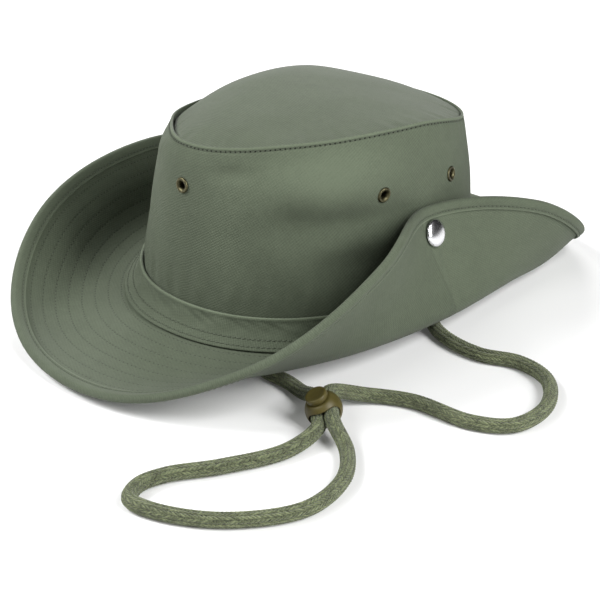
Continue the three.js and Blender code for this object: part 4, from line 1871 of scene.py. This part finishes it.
@dataclass
class ChinCord:
    """The braided cord: from the crown's left wall through the lock, round, back and in."""

    lock: CordLock
    diameter: float = 7.5 * MM
    plaiting: Plaiting = Plaiting()
    relief: float = 0.65 * MM
    step: float = 0.54 * MM
    sides: int = 56
    # Colours of the braid: the plaits' own colour with a painted highlight, and the painted shade
    # between them.
    light: Colour = scaled(from_screen(190, 202, 150), EXPOSURE)
    painted_gap_shade: Colour = scaled(from_screen(28, 38, 18), EXPOSURE)

    def route(self) -> Array:
        """Points of the route, as in the frame, on the floor where no height is given.

        Returns:
            The points, one row each.
        """
        lane = self.lock.lane

        def on_floor(x: float, y: float, height: float = 4.1) -> Point:
            """A point in millimetres, at the height of a cord that lies on the floor."""
            return (x * MM, y * MM, height * MM)

        return np.array([
            on_floor(60.5, 62.3, 18),
            on_floor(71, 42, 14),
            on_floor(76.3, 22, 8),
            on_floor(84, 6),
            on_floor(102, -6),
            on_floor(128, -9.5),
            on_floor(150, -2.5),
            on_floor(171, -8.5),
            on_floor(186.5, -32),
            on_floor(184.5, -57),
            on_floor(166.5, -68.5),
            on_floor(133.5, -71.5),
            on_floor(113, -84, 5.4),
            lane(1, -11 * MM),
            lane(1, 0),
            lane(1, 11.5 * MM),
            on_floor(139.5, -130.5, 4.4),
            on_floor(154.5, -151),
            on_floor(157.5, -181),
            on_floor(137, -211),
            on_floor(109, -227),
            on_floor(92.5, -228.5),
            on_floor(86.5, -217.5),
            on_floor(89.5, -203),
            on_floor(104, -180),
            on_floor(117.5, -148.5),
            lane(-1, 11.5 * MM),
            lane(-1, 0),
            lane(-1, -12 * MM),
            on_floor(87, -103.5, 5.2),
            on_floor(73, -99.5),
            on_floor(56, -98.5),
            on_floor(27, -88),
            on_floor(-5, -45),
            on_floor(-46, 6),
            on_floor(-65, 25, 6),
            on_floor(-71.2, 43, 11),
            on_floor(-60.5, 62.3, 18),
        ])

    def centreline(self) -> Array:
        """Centripetal Catmull-Rom curve through the route, at even steps of its length.

        Each stretch is a cubic through its two ends whose end slopes come from the gaps between
        the four nearest points, each gap raised to the power 1/2.

        Returns:
            The points, one row each.
        """
        p = self.route()
        p = np.vstack([2 * p[0] - p[1], p, 2 * p[-1] - p[-2]])
        gaps = np.linalg.norm(np.diff(p, axis=0), axis=1)[:, None] ** 0.5
        before, here, after = gaps[:-2], gaps[1:-1], gaps[2:]
        a, b, c, d = p[:-3], p[1:-2], p[2:-1], p[3:]
        slope_b = ((b - a) / before - (c - a) / (before + here) + (c - b) / here) * here
        slope_c = ((c - b) / here - (d - b) / (here + after) + (d - c) / after) * here
        t = np.linspace(0, 1, 60, endpoint=False)[None, :, None]
        b, c = b[:, None], c[:, None]
        m, n = slope_b[:, None], slope_c[:, None]
        curve = (b + m * t + (-3 * b + 3 * c - 2 * m - n) * t**2 + (2 * b - 2 * c + m + n) * t**3)
        fine = np.vstack([curve.reshape(-1, 3), p[-2]])
        length = np.concatenate([[0], np.cumsum(np.linalg.norm(np.diff(fine, axis=0), axis=1))])
        even = np.linspace(0, length[-1], round(length[-1] / self.step) + 1)
        return np.stack([np.interp(even, length, fine[:, k]) for k in range(3)], -1)

    def build(self, ball: bpy.types.Object, button: bpy.types.Object) -> bpy.types.Object:
        """Makes the cord: centre + (radius + relief of the braid) round its centreline.

        Args:
            ball: not used.
            button: not used.

        Returns:
            The cord.
        """
        path = self.centreline()
        forward = unit(np.gradient(path, axis=0))
        side = unit(np.cross(UP, forward))
        above = np.cross(forward, side)
        turn = np.linspace(0, 1, self.sides, endpoint=False)
        spoke = (np.cos(2 * math.pi * turn)[None, :, None] * side[:, None]
                 + np.sin(2 * math.pi * turn)[None, :, None] * above[:, None])
        along = np.arange(len(path)) * self.step
        height = self.plaiting.heights(turn[None], along[:, None])
        radius = self.diameter / 2 + (height - 0.75) * self.relief
        points = path[:, None] + spoke * radius[..., None]
        braid = np.stack(np.broadcast_arrays(np.append(turn, 1.0)[None], along[:, None]), -1)
        piece = Shell("braided_cord", points, {"braid": braid}, poles=(path[:1], path[-1:])).build()
        look = BraidFinish("braided_yarn", self.light, self.painted_gap_shade, self.plaiting)
        return finish(piece, look.material(), Slot.CORD, "chin_cord")


# Studio


@dataclass(frozen=True)
class SoftBox:
    """A square soft light round the hat: where it stands, in degrees, and its power in watts."""

    name: str
    azimuth: float
    elevation: float
    power: float


@dataclass
class Studio:
    """Camera at the photograph's angle, a pale floor and soft lights."""

    camera_place: Point = (614.1 * MM, -662.7 * MM, 445.45 * MM)
    camera_aim: Point = (11.87 * MM, 6.12 * MM, -10.82 * MM)
    lens: float = 104.07
    sensor: float = 36.0
    floor_side: float = 8.0
    surround: float = 0.01
    glow: float = 0.05
    shade: float = 0.8
    distance: float = 1.7
    box_side: float = 0.7
    boxes: tuple[SoftBox, ...] = (
        SoftBox("behind", 132.4, 20, 22.0),
        SoftBox("right", -2.6, 20, 16.0),
        SoftBox("right_high", -2.6, 42, 24.0),
        SoftBox("left_high", -137.6, 42, 31.0),
        SoftBox("left", -137.6, 20, 3.0),
        SoftBox("front_high", -92.6, 42, 8.0),
    )
    aim: Point = (0.0, 0.0, 0.05)

    def camera(self) -> None:
        """Sets the camera and makes it the scene's."""
        camera = bpy.data.objects.new("camera", bpy.data.cameras.new("camera"))
        camera.data.lens = self.lens
        camera.data.sensor_width = self.sensor
        camera.location = self.camera_place
        look = Vector(self.camera_aim) - Vector(self.camera_place)
        camera.rotation_euler = look.to_track_quat("-Z", "Y").to_euler()
        bpy.context.scene.collection.objects.link(camera)
        bpy.context.scene.camera = camera

    def floor(self) -> None:
        """A large plain floor that glows a little, so that its shadows stay soft and pale."""
        half = self.floor_side / 2
        mesh = bpy.data.meshes.new("floor")
        mesh.from_pydata([(-half, -half, 0), (half, -half, 0), (half, half, 0), (-half, half, 0)], [],
                         [(0, 1, 2, 3)])
        floor = placed("floor", mesh)
        bench = Bench("white_paper")
        mesh.materials.append(bench.surface({
            "Base Color": (self.shade,) * 3,
            "Roughness": 0.9,
            "Specular IOR Level": 0.0,
            "Emission Color": (1.0, 1.0, 1.0),
            "Emission Strength": self.glow,
        }))

    def lights(self) -> None:
        """Hangs the soft boxes in a circle round the hat, and leaves the surround nearly black."""
        aim = Vector(self.aim)
        for box in self.boxes:
            light = bpy.data.lights.new(box.name, "AREA")
            light.shape = "SQUARE"
            light.size = self.box_side
            light.energy = box.power
            turn, climb = math.radians(box.azimuth), math.radians(box.elevation)
            level = math.cos(climb)
            towards = Vector((level * math.cos(turn), level * math.sin(turn), math.sin(climb)))
            lamp = bpy.data.objects.new(box.name, light)
            lamp.location = aim + towards * self.distance
            lamp.rotation_euler = towards.to_track_quat("Z", "Y").to_euler()
            bpy.context.scene.collection.objects.link(lamp)
        world = bpy.data.worlds.new("surround")
        world.use_nodes = True
        back = world.node_tree.nodes["Background"]
        back.inputs["Color"].default_value = (1.0, 1.0, 1.0, 1.0)
        back.inputs["Strength"].default_value = self.surround
        bpy.context.scene.world = world
        bpy.context.scene.view_settings.view_transform = "Standard"


def main() -> None:
    """Builds the camera and cord first, then the hat from the brim up, then the studio."""
    logging.basicConfig(level=logging.INFO, format="%(name)s %(message)s")
    studio = Studio()
    studio.camera()
    lock = CordLock()
    ChinCord(lock).build(lock.ball_piece(), lock.button_piece())
    brim, crown = Brim(), Crown()
    band, fittings = Band(brim), Fittings(crown, brim)
    makers: list[Callable[[], Any]] = [
        brim.cloth_piece, brim.tape_piece, brim.sewing,
        crown.wall_piece, crown.tip_piece, crown.sewing,
        band.cloth_piece, band.sewing,
        fittings.eyelet_pieces, fittings.snap_pieces,
        studio.floor, studio.lights,
    ]
    for make in makers:
        make()
        log.info("made %s", make.__qualname__)


if __name__ == "__main__":
    main()
